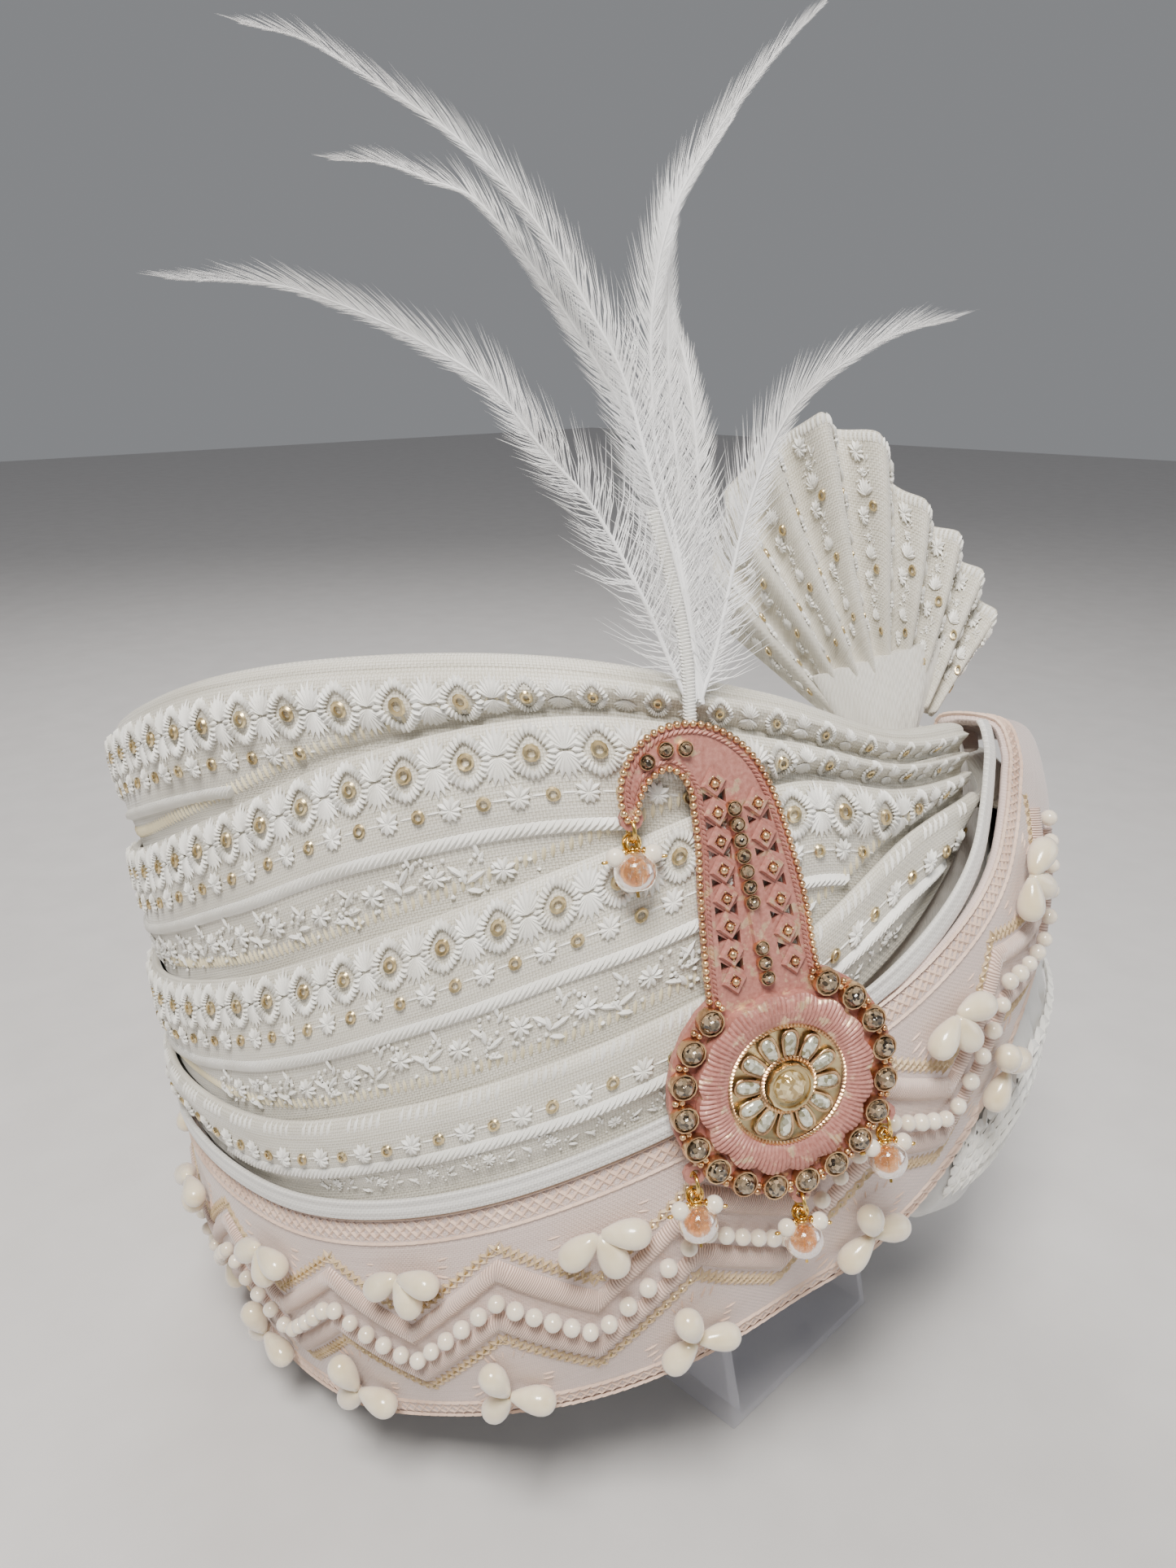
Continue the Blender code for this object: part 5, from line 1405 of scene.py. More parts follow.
def pearls():
    """Round pearls along the zigzag, and teardrops in threes above and below it."""
    ball = start("uv_sphere", segments=14, ring_count=9, radius=0.5 * STRING_PEARL)
    worked(
        ball,
        lambda polygon: abs(polygon.center.z) > 0.45 * STRING_PEARL,
        (bpy.ops.transform.resize, dict(value=(0.96, 0.96, 0.96))),
    )
    round_pearl = Shape(ball)
    runs, downs = zigzag(0.0, 0.0049)
    spots = BORDER_FACE.at(runs, downs, 0.5 * STRING_PEARL + 0.0002)
    places = []
    for spot in spots:
        wobble = DICE.uniform(0.93, 1.03)
        turn = Euler(DICE.uniform(0, 3, 3)).to_matrix().to_4x4()
        places.append(Matrix.Translation(spot) @ turn @ Matrix.Scale(wobble, 4))
    obj = copies("zigzag_pearls", round_pearl, places, PEARL, 60)
    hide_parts("pearl_string")

    drop = teardrop()
    whisker = stitch(0.0032, 0.0005, 0.0005)
    tufts, rest, number = [], [], 0
    for half in range(FIRST_HALF + 1, LAST_HALF):
        above = half % 2 != 0
        if half == HALF_BEHIND_MEDALLION:
            continue
        step = step_of_half(half)
        depth = (0.20 if above else 0.80) * float(border_width(step))
        run = float(BORDER_FACE.run_at(step))
        knot = BORDER_FACE.at(run, depth, 0.5 * DROP_PEARL_WIDTH + 0.0002)
        along = Vector(BORDER_FACE.at(run + 0.001, depth) - BORDER_FACE.at(run - 0.001, depth)).normalized()
        up = Vector(BORDER_FACE.at(run, depth - 0.001) - BORDER_FACE.at(run, depth + 0.001)).normalized()
        out = along.cross(up).normalized()
        seat = Matrix((along, out.cross(along), out)).transposed().to_4x4()
        seat.translation = Vector(knot)
        places = []
        for turn in (205, 270, 335) if above else (90, 210, 330):
            spin = Matrix.Rotation(math.radians(turn + DICE.uniform(-5, 5)), 4, "Z")
            size = DICE.uniform(0.95, 1.03)
            places.append(seat @ spin @ Matrix.Translation((0.0004, 0, 0)) @ Matrix.Scale(size, 4))
            for lean in (-28, -12, 4, 18, 30):
                tip = DROP_PEARL_LENGTH + 0.0004
                turn_all = turn + lean
                start_at = 0.80 * tip
                tufts.append(
                    (
                        run + start_at * math.cos(math.radians(turn_all)),
                        depth - start_at * math.sin(math.radians(turn_all)),
                        turn_all + DICE.uniform(-12, 12),
                        DICE.uniform(0.7, 1.1),
                    )
                )
        if -3 <= half < LAST_HALF:
            number += 1
            obj = copies(f"teardrops_{number:02d}", drop, places, CREAM_PEARL, 60)
            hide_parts(f"pearl_drops_{number:02d}")
        else:
            rest += places
    copies("teardrops_round_the_back", drop, rest, CREAM_PEARL, 60)
    embroidered("teardrop_threads", [laid(whisker, BORDER_FACE, tufts)], BLUSH_FLOSS)


# The roll and the fan


def roll_ring(angle):
    """The roll's section at an angle: it bulges outwards and steps onto the last lap."""
    key = max(angle, -80)
    rim, top = float(edge(key, "rim")), float(edge(key, "border"))
    low = rim + float(ROLL.at(angle, "low")) * (top - rim)
    high = rim + float(ROLL.at(angle, "high")) * (top - rim)
    swell = float(ROLL.at(angle, "swell")) * ROLL_SWELL
    foot = BORDER_LIFT + 0.0001
    if angle > -30:
        foot += BORDER_CLOTH + BORDER_CREST + 3 * FACE_GAP
    over_lap = high > top
    ledge = LAP_RISE * 0.72 + CLOTH + 2 * FACE_GAP if over_lap else foot
    step_low = top if over_lap else low + 0.6 * (high - low)
    step_high = top + 0.0025 if over_lap else low + 0.7 * (high - low)
    front = ((0.0, 0.0), (0.06, 0.55), (0.16, 0.80), (0.28, 0.96), (0.38, 0.88), (0.5, 1.0), (0.62, 0.90))
    front += ((0.76, 0.94), (0.88, 0.76), (0.95, 0.66))
    gather = 1.0 + 0.045 * math.sin(1.15 * angle) + 0.03 * math.sin(2.3 * angle + 1.0)
    spots = []
    for up, out in front:
        lift = foot + out * swell * (gather if out > 0.6 else 1.0)
        spots.append((low + up * (high - low), lift))
    spots += [(high, max(ledge + 0.0004, foot + 0.35 * swell)), (high - 0.0006, ledge)]
    spots += [(step_high, ledge), (step_low, foot)]
    return [oval(angle, height, lift) for height, lift in spots]


# The roll's face after rounding: share up it, share of its swell, and how far stitches stand over it
SKIN_UP = (0.0, 0.06, 0.16, 0.28, 0.38, 0.50, 0.62, 0.76, 0.88, 0.95, 1.0)
SKIN_OUT = (0.0, 0.55, 0.80, 0.96, 0.93, 1.0, 0.94, 0.94, 0.76, 0.66, 0.40)
SKIN_OVER = 0.03


def roll_place(angle, down):
    """The roll's outer face, for what is sewn on it; down is measured from its upper edge."""
    key = np.maximum(angle, -80)
    rim, top = edge(key, "rim"), edge(key, "border")
    low = rim + ROLL.at(angle, "low") * (top - rim)
    high = rim + ROLL.at(angle, "high") * (top - rim)
    swell = ROLL.at(angle, "swell") * ROLL_SWELL
    share = np.clip(down / np.maximum(high - low, 0.001), 0.0, 1.0)
    foot = BORDER_LIFT + np.where(angle > -30, BORDER_CLOTH + BORDER_CREST + 3 * FACE_GAP, 0.0)
    bulge = SKIN_OVER + np.interp(1 - share, SKIN_UP, SKIN_OUT)
    return oval(angle, high - share * (high - low), foot + swell * bulge)


def side_roll():
    """The padded satin roll, lofted with its gathers and creased by displacement."""
    angles = np.linspace(-84, -12, 61)
    rings = [roll_ring(float(angle)) for angle in angles]
    points = rows_of(SEAT, np.array(rings).reshape(-1, 3))
    wide = len(rings[0])
    faces = []
    for i in range(len(rings) - 1):
        for k in range(wide):
            m = (k + 1) % wide
            faces.append((i * wide + k, (i + 1) * wide + k, (i + 1) * wide + m, i * wide + m))
    faces.append(tuple(range(wide)))
    faces.append(tuple((len(rings) - 1) * wide + k for k in range(wide))[::-1])
    mesh = bpy.data.meshes.new("side_roll_satin")
    mesh.from_pydata(points.tolist(), [], faces)
    obj = bpy.data.objects.new("side_roll_satin", mesh)
    bpy.context.scene.collection.objects.link(obj)
    only(obj)
    bpy.ops.object.mode_set(mode="EDIT")
    bpy.ops.mesh.select_all(action="SELECT")
    bpy.ops.mesh.normals_make_consistent(inside=False)
    bpy.ops.object.mode_set(mode="OBJECT")
    rounder(obj, 2)
    texture = bpy.data.textures.new("roll_creases", "CLOUDS")
    texture.noise_scale = 0.009
    modified(obj, "DISPLACE", texture=texture, strength=0.0024, mid_level=0.66)
    finished(obj, "side_roll_satin", ROLL_SATIN, 60)
    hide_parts("side_roll")

    face = Face(roll_place, -82, -14, 0.010)
    cord = stitch(0.0062, 0.0024, 0.0016)
    spots = []
    for run in np.arange(0.006, face.length - 0.004, 0.0046):
        angle = float(face.key(run))
        key = max(angle, -80)
        height = float(edge(key, "border") - edge(key, "rim"))
        height *= float(ROLL.at(angle, "high") - ROLL.at(angle, "low"))
        for share in (0.26, 0.37, 0.48, 0.59, 0.70):
            spots.append((run, share * height, 40, 1.0))
            spots.append((run + 0.0034, share * height, 140, 1.0))
    embroidered("side_roll_lace", [laid(cord, face, spots)], WHITE_FLOSS)


# Height over the fan's root, then the half width across and front to back, in radii
BINDING_ROWS = (
    (0.0042, 0.8, 0.55), (0.0072, 0.95, 0.62), (0.010, 1.1, 0.62), (0.018, 1.9, 0.5), (0.027, 2.4, 0.24)
)
BINDING_RADIUS = 0.0065
BINDING_SIDES = 40


def pleated_fan():
    """The fan's leaf in knife pleats, its embroidery, and the binding round its root."""
    count = 2 * FAN_PLEATS

    def place(along, down):
        column = along * count
        first, last = FAN_EDGE.keys[0], FAN_EDGE.keys[-1]
        angle = last + (first - last) * along
        full = FAN_REACH * (FAN_EDGE.at(angle, "reach") - FAN_LEAF_START)
        depth = down * full
        return rows_of(SEAT, fan_place(column, depth)), FAN_FACE.run_at(column), depth

    obj = cloth_sheet("fan_leaf_silk", count * 8, 26, place, FAN_CLOTH, FAN_SILK)
    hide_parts("turra_fan")
    white, gold = [], []
    blossom, ring = blossom_shape(), ring_shape(0.0010, 0.00034, 10, 5, 0.0004)
    slant = stitch(0.0030, 0.0009, 0.0008)
    sprigs = [sprig_shape(np.random.default_rng(seed)) for seed in (5, 6, 7)]
    tuft = tuft_shape(7, 120, 0.0042)
    for pleat in range(count):
        column = pleat + 0.5
        run = float(FAN_FACE.run_at(column))
        angle = FAN_EDGE.keys[-1] + (FAN_EDGE.keys[0] - FAN_EDGE.keys[-1]) * column / count
        full = float(FAN_REACH * (FAN_EDGE.at(angle, "reach") - FAN_LEAF_START))
        step = FAN_FACE.length / count
        for depth in np.arange(0.0045, 0.72 * full, 0.0044):
            kind = int(depth / 0.0044) % 3
            size = 0.55 + 0.45 * (1 - depth / full)
            if kind == 0:
                white.append(laid(tuft, FAN_FACE, [(run, depth, DICE.uniform(-15, 15), size)]))
                gold.append(laid(ring, FAN_FACE, [(run + 0.2 * step, depth + 0.002, 0, size)]))
            elif kind == 1:
                white.append(laid(blossom, FAN_FACE, [(run - 0.12 * step, depth, 0, size)]))
            else:
                turn = DICE.uniform(60, 120)
                white.append(laid(sprigs[pleat % 3], FAN_FACE, [(run, depth, turn, 0.5 * size)]))
    runs = np.arange(0.001, FAN_FACE.length - 0.001, 0.0012)
    white.append(laid(slant, FAN_FACE, [(run, 0.0026, 80, 0.8) for run in runs]))
    embroidered("fan_floss", white, WHITE_FLOSS)
    embroidered("fan_sequins", gold, ZARI)

    root, across, normal = fan_frame()
    rings = []
    for up, wide, deep in BINDING_ROWS:
        ring = []
        for i in range(BINDING_SIDES):
            turn = 2 * math.pi * i / BINDING_SIDES
            gather = 1.0 + 0.05 * math.sin(10 * turn)
            flat = across * (wide * math.cos(turn) * gather) + normal * (deep * math.sin(turn) * gather)
            ring.append(root + Vector((0, 0, up)) + flat * BINDING_RADIUS)
        rings.append(ring)
    points = rows_of(SEAT, np.array(rings).reshape(-1, 3))
    faces = []
    for r in range(len(rings) - 1):
        for i in range(BINDING_SIDES):
            j = (i + 1) % BINDING_SIDES
            low, high = r * BINDING_SIDES, (r + 1) * BINDING_SIDES
            faces.append((low + i, low + j, high + j, high + i))
    faces.append(tuple(range(BINDING_SIDES))[::-1])
    faces.append(tuple((len(rings) - 1) * BINDING_SIDES + i for i in range(BINDING_SIDES)))
    obj = piece("fan_binding", points, faces, CAP_SILK, 60)
    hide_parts("turra_fan")


# The plume


def smooth_line(points, count):
    """Points along a smooth curve through a few given ones."""
    table = np.array(points, float)
    chord = np.concatenate(([0.0], np.cumsum(np.linalg.norm(np.diff(table, axis=0), axis=1))))
    chart = Chart(("along", "x", "y", "z"), *np.column_stack([chord, table]).tolist())
    marks = np.linspace(0, chord[-1], count)
    return np.column_stack([chart.at(marks, name) for name in ("x", "y", "z")])


def feather(name, spine, lean, dice):
    """A hackle: a tapering shaft with barbs, loose and long at its foot, tight at its tip."""
    spread = [(x, y, 0.6 + lean * (i / (len(spine) - 1)) ** 2) for i, (x, y) in enumerate(spine)]
    line = smooth_line(spread, 420)
    t = np.linspace(0, 1, len(line))
    along = np.gradient(line, axis=0)
    along /= np.linalg.norm(along, axis=1, keepdims=True)
    side = np.cross(along, np.array((0, 0, 1.0)))
    side /= np.linalg.norm(side, axis=1, keepdims=True)
    shaft_points, shaft_faces = swept(line[::6], 0.42, 6, taper=np.linspace(1.0, 0.18, len(line[::6])))
    spikes, faces, base = [shaft_points], list(shaft_faces), len(shaft_points)
    for hand in (1, -1):
        for i in range(10, len(line) - 1):
            here = t[i]
            loose = max(0.0, 1 - here / 0.55)
            if dice.random() < 0.45 * loose:
                continue
            upper = hand if spine[-1][0] < 0 else -hand
            reach = np.interp(here, (0, 0.06, 0.25, 0.55, 0.85, 1.0), (3.5, 9.0, 10.5, 7.6, 5.2, 2.4))
            reach *= dice.uniform(0.72, 1.06) + 0.5 * loose * dice.uniform(-1, 1)
            reach *= 1.0 + here * (0.42 if upper > 0 else -0.62)
            opening = np.interp(here, (0, 0.3, 0.6, 1.0), (52, 38, 24, 10))
            opening = opening + dice.uniform(-4, 4) * (1 + 4 * loose)
            open_angle = math.radians(opening)
            out = along[i] * math.cos(open_angle) + side[i] * (hand * math.sin(open_angle))
            lift = np.array((0, 0, dice.uniform(-0.10, 0.16) + dice.uniform(-0.5, 0.5) * loose))
            tip_bend = along[i] * (0.22 * reach) + lift * reach * 0.6
            a = line[i]
            b = line[i] + out * (0.55 * reach) + lift * 0.2 * reach
            c = line[i] + out * reach + tip_bend
            width = 0.17 if here > 0.4 else 0.13
            up = np.array((0, 0, width * 0.6))
            across_barb = along[i] * width
            near, far = across_barb, across_barb * 0.8
            spikes.append(np.array([a + near, a - near, a + up, b + far, b - far, b + up, c]))
            s = base
            faces += [(s, s + 3, s + 4, s + 1), (s + 1, s + 4, s + 5, s + 2), (s + 2, s + 5, s + 3, s)]
            faces += [(s + 3, s + 6, s + 4), (s + 4, s + 6, s + 5), (s + 5, s + 6, s + 3), (s, s + 1, s + 2)]
            base += 7
    points = np.concatenate(spikes) * 0.001
    obj = piece(f"feather_{name}", rows_of(BROOCH, points), faces, FEATHER, 60)
    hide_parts("plume")


STEM_ROUTE = ((0, 0), (0.015, 0.10), (0.018, 0.20), (0.010, 0.33))
STEM_SCALE = 0.107
STEM_POINTS = 180
WRAP_TURNS = 60


def plume():
    """The feathers, and the wire that binds their feet, wrapped in thread."""
    dice = np.random.default_rng(21)
    for name, (spine, lean) in FEATHERS.items():
        feather(name, spine, lean, dice)
    foot = Vector((*PLUME_FOOT, 0.0)) * NECK_HEIGHT + Vector((0, 0, 0.5 * BROOCH_PLATE))
    route = [foot + Vector((x, y, 0)) * STEM_SCALE for x, y in STEM_ROUTE]
    line = smooth_line([tuple(p) for p in route], STEM_POINTS)
    coarse, fine_shares = np.linspace(0, 1, STEM_POINTS), np.linspace(0, 1, 4 * STEM_POINTS)
    turns = 2 * np.pi * WRAP_TURNS * fine_shares
    fine = np.stack([np.interp(fine_shares, coarse, line[:, k]) for k in range(3)], axis=1)
    helix = fine + 0.00095 * np.column_stack([np.cos(turns), 0 * turns, np.sin(turns)])
    core_points, core_faces = swept(line[::6], 0.0009, 8)
    wrap_points, wrap_faces = swept(helix, 0.00028, 4)
    merged_faces = core_faces + [tuple(i + len(core_points) for i in face) for face in wrap_faces]
    points = rows_of(BROOCH, np.concatenate([core_points, wrap_points]))
    obj = piece("plume_bound_wire", points, merged_faces, WHITE_FLOSS, 60)
    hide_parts("plume")


# The brooch


def brooch_places(spots):
    """Matrices in the row frame for spots (x, y, z, turn in degrees, size) in the brooch's plane."""
    made = []
    for x, y, z, turn, size in spots:
        spin = Matrix.Rotation(math.radians(turn), 4, "Z")
        made.append(BROOCH @ Matrix.Translation((x, y, z)) @ spin @ Matrix.Scale(size, 4))
    return made


def ribbed_rosette():
    """The medallion's fluted dish: a profile spun round, then pressed into ribs and scallops."""
    profile = ((0.01135, 0.0034), (0.0120, 0.00362), (0.0131, 0.0039), (0.0142, 0.00402), (0.0153, 0.0040))
    profile += ((0.0162, 0.00385), (0.0170, 0.0034), (0.01715, 0.0016))
    mesh = bpy.data.meshes.new("rosette")
    mesh.from_pydata([(r, 0.0, z) for r, z in profile], [(i, i + 1) for i in range(len(profile) - 1)], [])
    obj = bpy.data.objects.new("rosette", mesh)
    bpy.context.scene.collection.objects.link(obj)
    only(obj)
    bpy.ops.object.mode_set(mode="EDIT")
    bpy.ops.mesh.select_all(action="SELECT")
    bpy.ops.mesh.spin(steps=432, angle=2 * math.pi, center=(0, 0, 0), axis=(0, 0, 1))
    bpy.ops.mesh.select_all(action="SELECT")
    bpy.ops.mesh.remove_doubles(threshold=0.00001)
    bpy.ops.mesh.normals_make_consistent(inside=False)
    bpy.ops.object.mode_set(mode="OBJECT")
    count = len(obj.data.vertices)
    flat = np.empty(count * 3)
    obj.data.vertices.foreach_get("co", flat)
    flat = flat.reshape(-1, 3)
    radius, turn = np.hypot(flat[:, 0], flat[:, 1]), np.arctan2(flat[:, 1], flat[:, 0])
    outer = np.clip((radius - 0.0135) / 0.0035, 0, 1)
    scallop = np.abs(np.cos(8 * turn))
    grown = radius * (1 + outer * (0.055 * scallop - 0.035))
    ribs = np.abs(np.sin(54 * turn)) * np.clip((radius - 0.0116) / 0.001, 0, 1) * (radius < 0.0171)
    flat[:, 0], flat[:, 1] = grown * np.cos(turn), grown * np.sin(turn)
    flat[:, 2] += 0.00034 * ribs - 0.0003 * outer * (1 - scallop)
    obj.data.vertices.foreach_set("co", rows_of(BROOCH, flat).ravel())
    obj.data.update()
    modified(obj, "SOLIDIFY", thickness=0.0002, offset=-1.0)
    finished(obj, "rosette_flutes", ENAMEL, 40)


def rope_edge(radius, height, count, wire, finish, name):
    """A twisted rope round the medallion: short slanted strands set side by side."""
    strand = stitch(3.4 * wire, 1.7 * wire, 1.7 * wire)
    strand.points[:, 0] -= 1.7 * wire
    spots = []
    for i in range(count):
        turn = 360 * i / count
        x, y = radius * math.cos(math.radians(turn)), radius * math.sin(math.radians(turn))
        spots.append((x, y, height, turn + 48, 1.0))
    copies(name, strand, brooch_places(spots), finish, 60)


def cut_stone(radius, height, sides=12):
    """A round cut stone: a crown in two tiers up to its table."""
    obj = start("cone", vertices=sides, radius1=radius, radius2=0.82 * radius, depth=0.45 * height)
    worked(
        obj,
        lambda polygon: polygon.normal.z > 0.9,
        (bpy.ops.mesh.extrude_region_move, dict(TRANSFORM_OT_translate=dict(value=(0, 0, 0.42 * height)))),
        (bpy.ops.transform.resize, dict(value=(0.66, 0.66, 1.0))),
        (bpy.ops.mesh.inset, dict(thickness=0.12 * radius, depth=0.10 * height)),
    )
    return Shape(obj)


def cup(radius, height):
    """A stone's cup: a collar with a milled upper edge."""
    obj = start("cylinder", vertices=24, radius=1.18 * radius, depth=height, end_fill_type="NGON")
    worked(
        obj,
        lambda polygon: polygon.normal.z > 0.9,
        (bpy.ops.mesh.inset, dict(thickness=0.16 * radius)),
        (bpy.ops.mesh.extrude_region_move, dict(TRANSFORM_OT_translate=dict(value=(0, 0, -0.3 * height)))),
    )
    modified(obj, "BEVEL", width=0.00008, segments=2, limit_method="ANGLE")
    shape = Shape(obj)
    turn = np.arctan2(shape.points[:, 1], shape.points[:, 0])
    outside = np.hypot(shape.points[:, 0], shape.points[:, 1]) > 1.1 * radius
    shape.points[:, :2] *= np.where(outside, 1 + 0.02 * np.cos(12 * turn), 1.0)[:, None]
    return shape


def gilt_ball(radius):
    obj = start("ico_sphere", subdivisions=2, radius=radius)
    worked(
        obj,
        lambda polygon: polygon.center.z < -0.5 * radius,
        (bpy.ops.transform.resize, dict(value=(1.1, 1.1, 0.4))),
    )
    return Shape(obj)


def medallion():
    """Round stones in cups with gilt balls between, petal stones, and the middle stone."""
    base = BROOCH_PLATE + FACE_GAP
    first, last = 90 + BORDER_OPENING, 450 - BORDER_OPENING
    pitch = (last - first) / BORDER_STONES
    ring = 0.5 * (1.03 * ROSETTE_RADIUS + FACE_GAP + MEDALLION_RADIUS - 0.0004) + 0.0002
    spots, balls = [], []
    for i in range(BORDER_STONES):
        turn = math.radians(first + pitch * (i + 0.5))
        spots.append((ring * math.cos(turn), ring * math.sin(turn), base + 0.0006, math.degrees(turn), 1.0))
    for i in range(BORDER_STONES + 1):
        turn = math.radians(first + pitch * i)
        for reach in (ring + 0.0013, ring + 0.0001):
            balls.append((reach * math.cos(turn), reach * math.sin(turn), base + 0.0007, 0, 1.0))
    raised = brooch_places([(x, y, z + 0.0008, turn, size) for x, y, z, turn, size in spots])
    stones = copies("border_stones_cut", cut_stone(0.0021, 0.0022), raised, SMOKY, None)
    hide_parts("stone_border")
    cups = copies("border_stone_cups", cup(0.0021, 0.0019), brooch_places(spots), ROSE_GOLD, 40)
    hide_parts("stone_border")
    copies("border_balls", gilt_ball(0.00062), brooch_places(balls), ROSE_GOLD, 60)

    disc = start("cylinder", vertices=64, radius=GOLD_DISC_RADIUS - 0.0001, depth=0.0010)
    worked(
        disc,
        lambda polygon: polygon.normal.z > 0.9,
        (bpy.ops.mesh.inset, dict(thickness=0.0005, depth=-0.0002)),
    )
    plate = copies("gold_disc", Shape(disc), brooch_places([(0, 0, BROOCH_PLATE + 0.0007, 0, 1.0)]), ZARI, 40)
    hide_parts("petal_stones")

    petal = start("uv_sphere", segments=14, ring_count=9, radius=0.00125)
    worked(
        petal,
        lambda polygon: polygon.center.x < -0.0009,
        (
            bpy.ops.transform.translate,
            dict(
                value=(-0.0021, 0, 0),
                use_proportional_edit=True,
                proportional_edit_falloff="SHARP",
                proportional_size=0.0022,
            ),
        ),
    )
    petal_stone = Shape(petal)
    petal_stone.points[:, 2] *= 0.72
    rim = start("torus", major_radius=0.00150, minor_radius=0.00030, major_segments=24, minor_segments=6)
    worked(
        rim,
        lambda polygon: polygon.center.x < -0.0012,
        (
            bpy.ops.transform.translate,
            dict(
                value=(-0.0022, 0, 0),
                use_proportional_edit=True,
                proportional_edit_falloff="SHARP",
                proportional_size=0.0024,
            ),
        ),
    )
    setting = Shape(rim)
    spots = []
    for i in range(PETALS):
        turn = 360 * i / PETALS + 15
        x, y = 0.0088 * math.cos(math.radians(turn)), 0.0088 * math.sin(math.radians(turn))
        spots.append((x, y, BROOCH_PLATE + 0.0017, turn, 1.0))
    stones = copies("petal_stones_cut", petal_stone, brooch_places(spots), CLEAR, 30)
    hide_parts("petal_stones")
    copies("petal_settings", setting, brooch_places(spots), ROSE_GOLD, 60)

    top = BROOCH_PLATE + 0.0002 + 0.0010 + FACE_GAP
    seat = brooch_places([(0, 0, top + 0.0012, 0, 1.0)])
    middle = copies("middle_stone_cut", cut_stone(0.0036, 0.0026, 16), seat, CHAMPAGNE, None)
    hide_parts("centre_stone")
    seat = brooch_places([(0, 0, top + 0.0010, 0, 1.0)])
    collet = copies("middle_collet", cup(0.0037, 0.0019), seat, ZARI, 40)
    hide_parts("centre_stone")
    rope_edge(0.0051, top + 0.0006, 44, 0.00042, ROSE_GOLD, "middle_rope")
    rope_edge(0.01125, BROOCH_PLATE + 0.0019, 96, 0.0004, ROSE_GOLD, "disc_rope")


def neck_line(offset, spacing):
    """Spots along both edges of the neck, moved inwards by an offset."""
    steps = np.linspace(0.55, 12, 300)
    x, y = NECK.at(steps, "across") * NECK_HEIGHT, NECK.at(steps, "up") * NECK_HEIGHT
    half = NECK.at(steps, "half_width") * NECK_HEIGHT - offset
    dx, dy = np.gradient(x), np.gradient(y)
    size = np.hypot(dx, dy)
    side = np.column_stack([dy / size, -dx / size]) * half[:, None]
    line = np.column_stack([x, y])
    whole = np.vstack([line + side, (line - side)[::-1]])
    lengths = np.concatenate(([0.0], np.cumsum(np.linalg.norm(np.diff(whole, axis=0), axis=1))))
    marks = np.arange(0, lengths[-1], spacing)
    return np.column_stack([np.interp(marks, lengths, whole[:, k]) for k in range(2)])


def brooch_neck():
    """Gilt balls round the neck, diamond studs, and the column of small stones."""
    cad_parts["brooch_frame"].data.materials.clear()
    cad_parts["brooch_frame"].data.materials.append(ENAMEL)
    balls = [(x, y, BROOCH_PLATE + 0.0001, 0, 1.0) for x, y in neck_line(0.0001, 0.00142)]
    copies("neck_balls", gilt_ball(0.00066), brooch_places(balls), ROSE_GOLD, 60)
    inner_rope = []
    strand = stitch(0.0015, 0.0006, 0.0006)
    strand.points[:, 0] -= 0.00075
    line = neck_line(0.0014, 0.0009)
    for a, b in zip(line, line[1:]):
        turn = math.degrees(math.atan2(b[1] - a[1], b[0] - a[0])) + 32
        inner_rope.append((a[0], a[1], BROOCH_PLATE + 0.0002, turn, 1.0))
    copies("neck_rope", strand, brooch_places(inner_rope), ENAMEL, 60)

    frame_part = start("cone", vertices=4, radius1=0.56 * STUD_WIDTH, radius2=0.44 * STUD_WIDTH, depth=0.0007)
    worked(
        frame_part,
        lambda polygon: polygon.normal.z > 0.9,
        (bpy.ops.mesh.inset, dict(thickness=0.00045)),
        (bpy.ops.mesh.extrude_region_move, dict(TRANSFORM_OT_translate=dict(value=(0, 0, -0.0004)))),
    )
    stud = Shape(frame_part)
    stud.points *= (1.05, 1.22, 1.0)
    spots = []
    for foot_x, top_x, foot_y, top_y, count in STUD_COLUMNS:
        for i in range(count):
            share = i / (count - 1)
            x = (foot_x + share * (top_x - foot_x)) * NECK_HEIGHT
            y = (foot_y + share * (top_y - foot_y)) * NECK_HEIGHT
            spots.append((x, y, BROOCH_PLATE + 0.0006, 0, 1.0))
    copies("stud_frames", stud, brooch_places(spots), ENAMEL, None)
    beads = [(x, y, z + 0.0004, 0, 1.0) for x, y, z, _, _ in spots]
    copies("stud_beads", gilt_ball(0.00078), brooch_places(beads), ROSE_GOLD, 60)
    grains = []
    for x, y, z, _, _ in spots:
        for k in range(8):
            turn = math.radians(45 * k)
            grains.append((x + 0.00115 * math.cos(turn), y + 0.00115 * math.sin(turn), z + 0.0001, 0, 0.36))
    copies("stud_grains", gilt_ball(0.00078), brooch_places(grains), ROSE_GOLD, 60)

    foot, top, low, high = (value * NECK_HEIGHT for value in SPINE)
    spots = []
    for i in range(12):
        share = i / 11
        if 3 <= i <= 4:
            continue
        x, y = foot + share * (top - foot), low + share * (high - low)
        spots.append((x, y, BROOCH_PLATE + 0.0008, 0, 1.0))
    for step in (7.6, 8.4, 9.3):
        x, y = (float(NECK.at(step, column)) * NECK_HEIGHT for column in ("across", "up"))
        spots.append((x, y, BROOCH_PLATE + 0.0003, 0, 1.0))
    raised = brooch_places([(x, y, z + 0.0006, 0, size) for x, y, z, _, size in spots])
    small = copies("neck_stones", cut_stone(0.00118, 0.0014, 10), raised, SMOKY, None)
    cups = copies("neck_stone_cups", cup(0.00118, 0.0012), brooch_places(spots), ROSE_GOLD, 40)


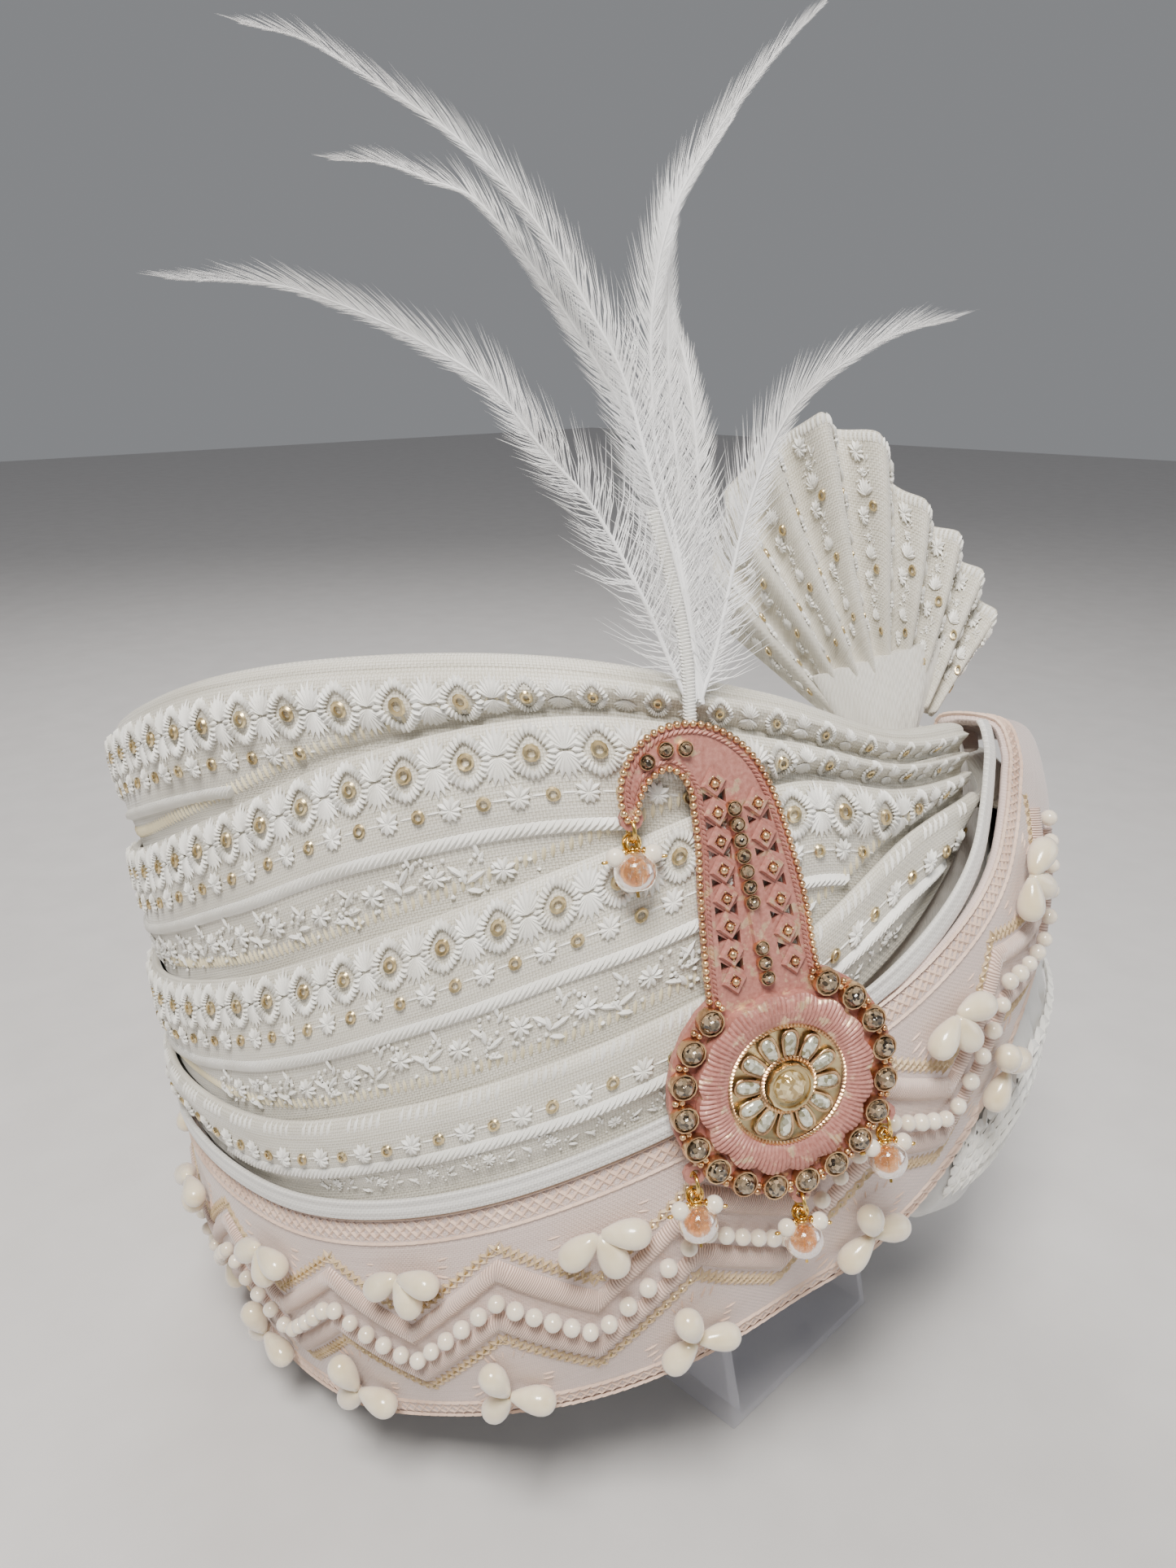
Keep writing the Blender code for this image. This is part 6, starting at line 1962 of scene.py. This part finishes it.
def drops():
    """Each drop: jump ring, wire loops, two pearls on headpins and a crackled glass bead."""
    plumb = (BROOCH.to_3x3()).inverted() @ Vector((0, 0, -1))
    down = Vector((plumb.x, plumb.y, 0.0)).normalized()
    hang = (down + Vector((0, 0, 0.30))).normalized()
    out = Vector((0, 0, 1))
    side = hang.cross(out).normalized()
    forward = side.cross(hang)
    places = {"drop_1": Vector(HOOK_DROP) * NECK_HEIGHT}
    for name, angle in MEDALLION_DROPS.items():
        turn = math.radians(angle)
        places[name] = Vector((math.cos(turn), math.sin(turn))) * (MEDALLION_RADIUS + EYE_OUTSET)

    def circle(centre, first, second, radius, count=28):
        turns = 2 * np.pi * np.arange(count) / count
        return np.array(centre) + radius * (
            np.cos(turns)[:, None] * np.array(first) + np.sin(turns)[:, None] * np.array(second)
        )

    for name, place in places.items():
        eye = Vector((place.x, place.y, 0.5 * BROOCH_PLATE))
        ring_middle = eye + down * RING_RADIUS
        points, faces = swept(circle(ring_middle, down, out, RING_RADIUS), RING_WIRE, 8, True)
        obj = piece(f"{name}_jump_ring", rows_of(BROOCH, points), faces, GOLD, 60)
        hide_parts(f"{name}_ring")
        loop_middle = ring_middle + down * (RING_RADIUS + LOOP_RADIUS - 2 * RING_WIRE - 2 * FACE_GAP)
        bead_middle = loop_middle + hang * (LOOP_RADIUS + AMBER_RADIUS - 0.0002)
        wires = [swept(circle(loop_middle, hang, side, LOOP_RADIUS), 0.00030, 6, True)]
        tilted = (side * 0.8 + forward * 0.6).normalized()
        wires.append(swept(circle(loop_middle + hang * 0.0004, hang, tilted, 0.0012), 0.00028, 6, True))
        tilted = (side * 0.8 - forward * 0.6).normalized()
        wires.append(swept(circle(loop_middle + hang * 0.0006, hang, tilted, 0.0012), 0.00028, 6, True))
        for k in range(3):
            coil = circle(loop_middle + hang * (0.0012 + 0.0005 * k), side, forward, 0.0008 + 0.0002 * k)
            wires.append(swept(coil, 0.00024, 6, True))
        pearls_here = []
        for sign in (-1, 1):
            middle = loop_middle + hang * 0.0022 + side * (sign * 0.0033) + forward * 0.0006
            pearls_here.append(middle)
            outward = (side * sign + hang * 0.35).normalized()
            pin = [loop_middle + hang * 0.0006, middle - outward * 0.001, middle + outward * 0.0021]
            wires.append(swept(pin, 0.00022, 6))
            wires.append(swept(circle(middle + outward * 0.0021, side, forward, 0.0003, 10), 0.0003, 6, True))
            collar = circle(middle - outward * 0.0017, forward, outward.cross(forward), 0.0006, 14)
            wires.append(swept(collar, 0.00022, 6, True))
        pin = [bead_middle - hang * AMBER_RADIUS, bead_middle + hang * (AMBER_RADIUS + 0.0006)]
        wires.append(swept(pin, 0.0003, 6))
        obj = embroidered(f"{name}_gilt_wires", [(rows_of(BROOCH, p), f) for p, f in wires], GOLD, 60)
        bead = start("uv_sphere", segments=28, ring_count=18, radius=AMBER_RADIUS)
        worked(
            bead,
            lambda polygon: abs(polygon.center.z) > 0.93 * AMBER_RADIUS,
            (bpy.ops.transform.resize, dict(value=(1.0, 1.0, 0.95))),
        )
        turn = Matrix((side, forward, hang)).transposed().to_4x4()
        turn.translation = bead_middle
        obj = copies(f"{name}_glass", Shape(bead), [BROOCH @ turn], AMBER, 60)
        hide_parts(f"{name}_bead")
        ball = start("uv_sphere", segments=16, ring_count=10, radius=SMALL_PEARL)
        worked(
            ball,
            lambda polygon: abs(polygon.center.z) > 0.9 * SMALL_PEARL,
            (bpy.ops.transform.resize, dict(value=(1, 1, 0.94))),
        )
        spots = [BROOCH @ Matrix.Translation(middle) for middle in pearls_here]
        copies(f"{name}_pearls", Shape(ball), spots, PEARL, 60)


# Camera, floor and lights


def studio():
    ahead = Vector((math.cos(math.radians(20)) / math.sqrt(2),) * 2 + (-math.sin(math.radians(20)),))
    camera = bpy.data.objects.new("camera", bpy.data.cameras.new("camera"))
    camera.data.lens = 27.05
    camera.data.sensor_width = 36.0
    camera.data.clip_start = 0.01
    camera.location = (-0.2101, -0.1915, 0.25)
    camera.rotation_mode = "QUATERNION"
    camera.rotation_quaternion = ahead.to_track_quat("-Z", "Y")
    bpy.context.scene.collection.objects.link(camera)
    bpy.context.scene.camera = camera

    floor = start("plane", size=6.0, location=(0, 0, -0.0002))
    floor.name = "floor"
    paper = Finish("pale_floor", (0.62, 0.60, 0.59), 0.8)
    grain = paper.noise(paper.coords("Object"), 40.0, 3.0)
    tone = paper.stretch(grain, 0.3, 0.7, 0.0, 1.0)
    paper.colour(paper.blend(tone, (0.60, 0.58, 0.57), (0.64, 0.62, 0.61)))
    floor.data.materials.append(paper.material)

    world = bpy.data.worlds.new("soft_room")
    world.use_nodes = True
    world.node_tree.nodes["Background"].inputs["Color"].default_value = (0.86, 0.88, 0.92, 1.0)
    world.node_tree.nodes["Background"].inputs["Strength"].default_value = 0.28
    bpy.context.scene.world = world
    lamps = (
        ("key", (-0.42, -0.30, 0.86), 0.26, 14.0, (1.0, 0.97, 0.92)),
        ("fill", (0.45, -0.75, 0.40), 0.6, 2.0, (0.93, 0.96, 1.0)),
        ("rim", (0.35, 0.60, 0.80), 0.4, 5.0, (1.0, 0.98, 0.96)),
    )
    for name, spot, size, power, colour in lamps:
        lamp = bpy.data.objects.new(name, bpy.data.lights.new(name, "AREA"))
        lamp.data.size = size
        lamp.data.energy = power
        lamp.data.color = colour
        lamp.location = spot
        lamp.rotation_mode = "QUATERNION"
        lamp.rotation_quaternion = (Vector((0, 0, 0.11)) - Vector(spot)).to_track_quat("-Z", "Y")
        bpy.context.scene.collection.objects.link(lamp)


studio()
display_stand()
cap_cloth()
wound_laps()
lap_embroidery()
border_cloth()
border_embroidery()
pearls()
side_roll()
pleated_fan()
plume()
ribbed_rosette()
medallion()
brooch_neck()
drops()
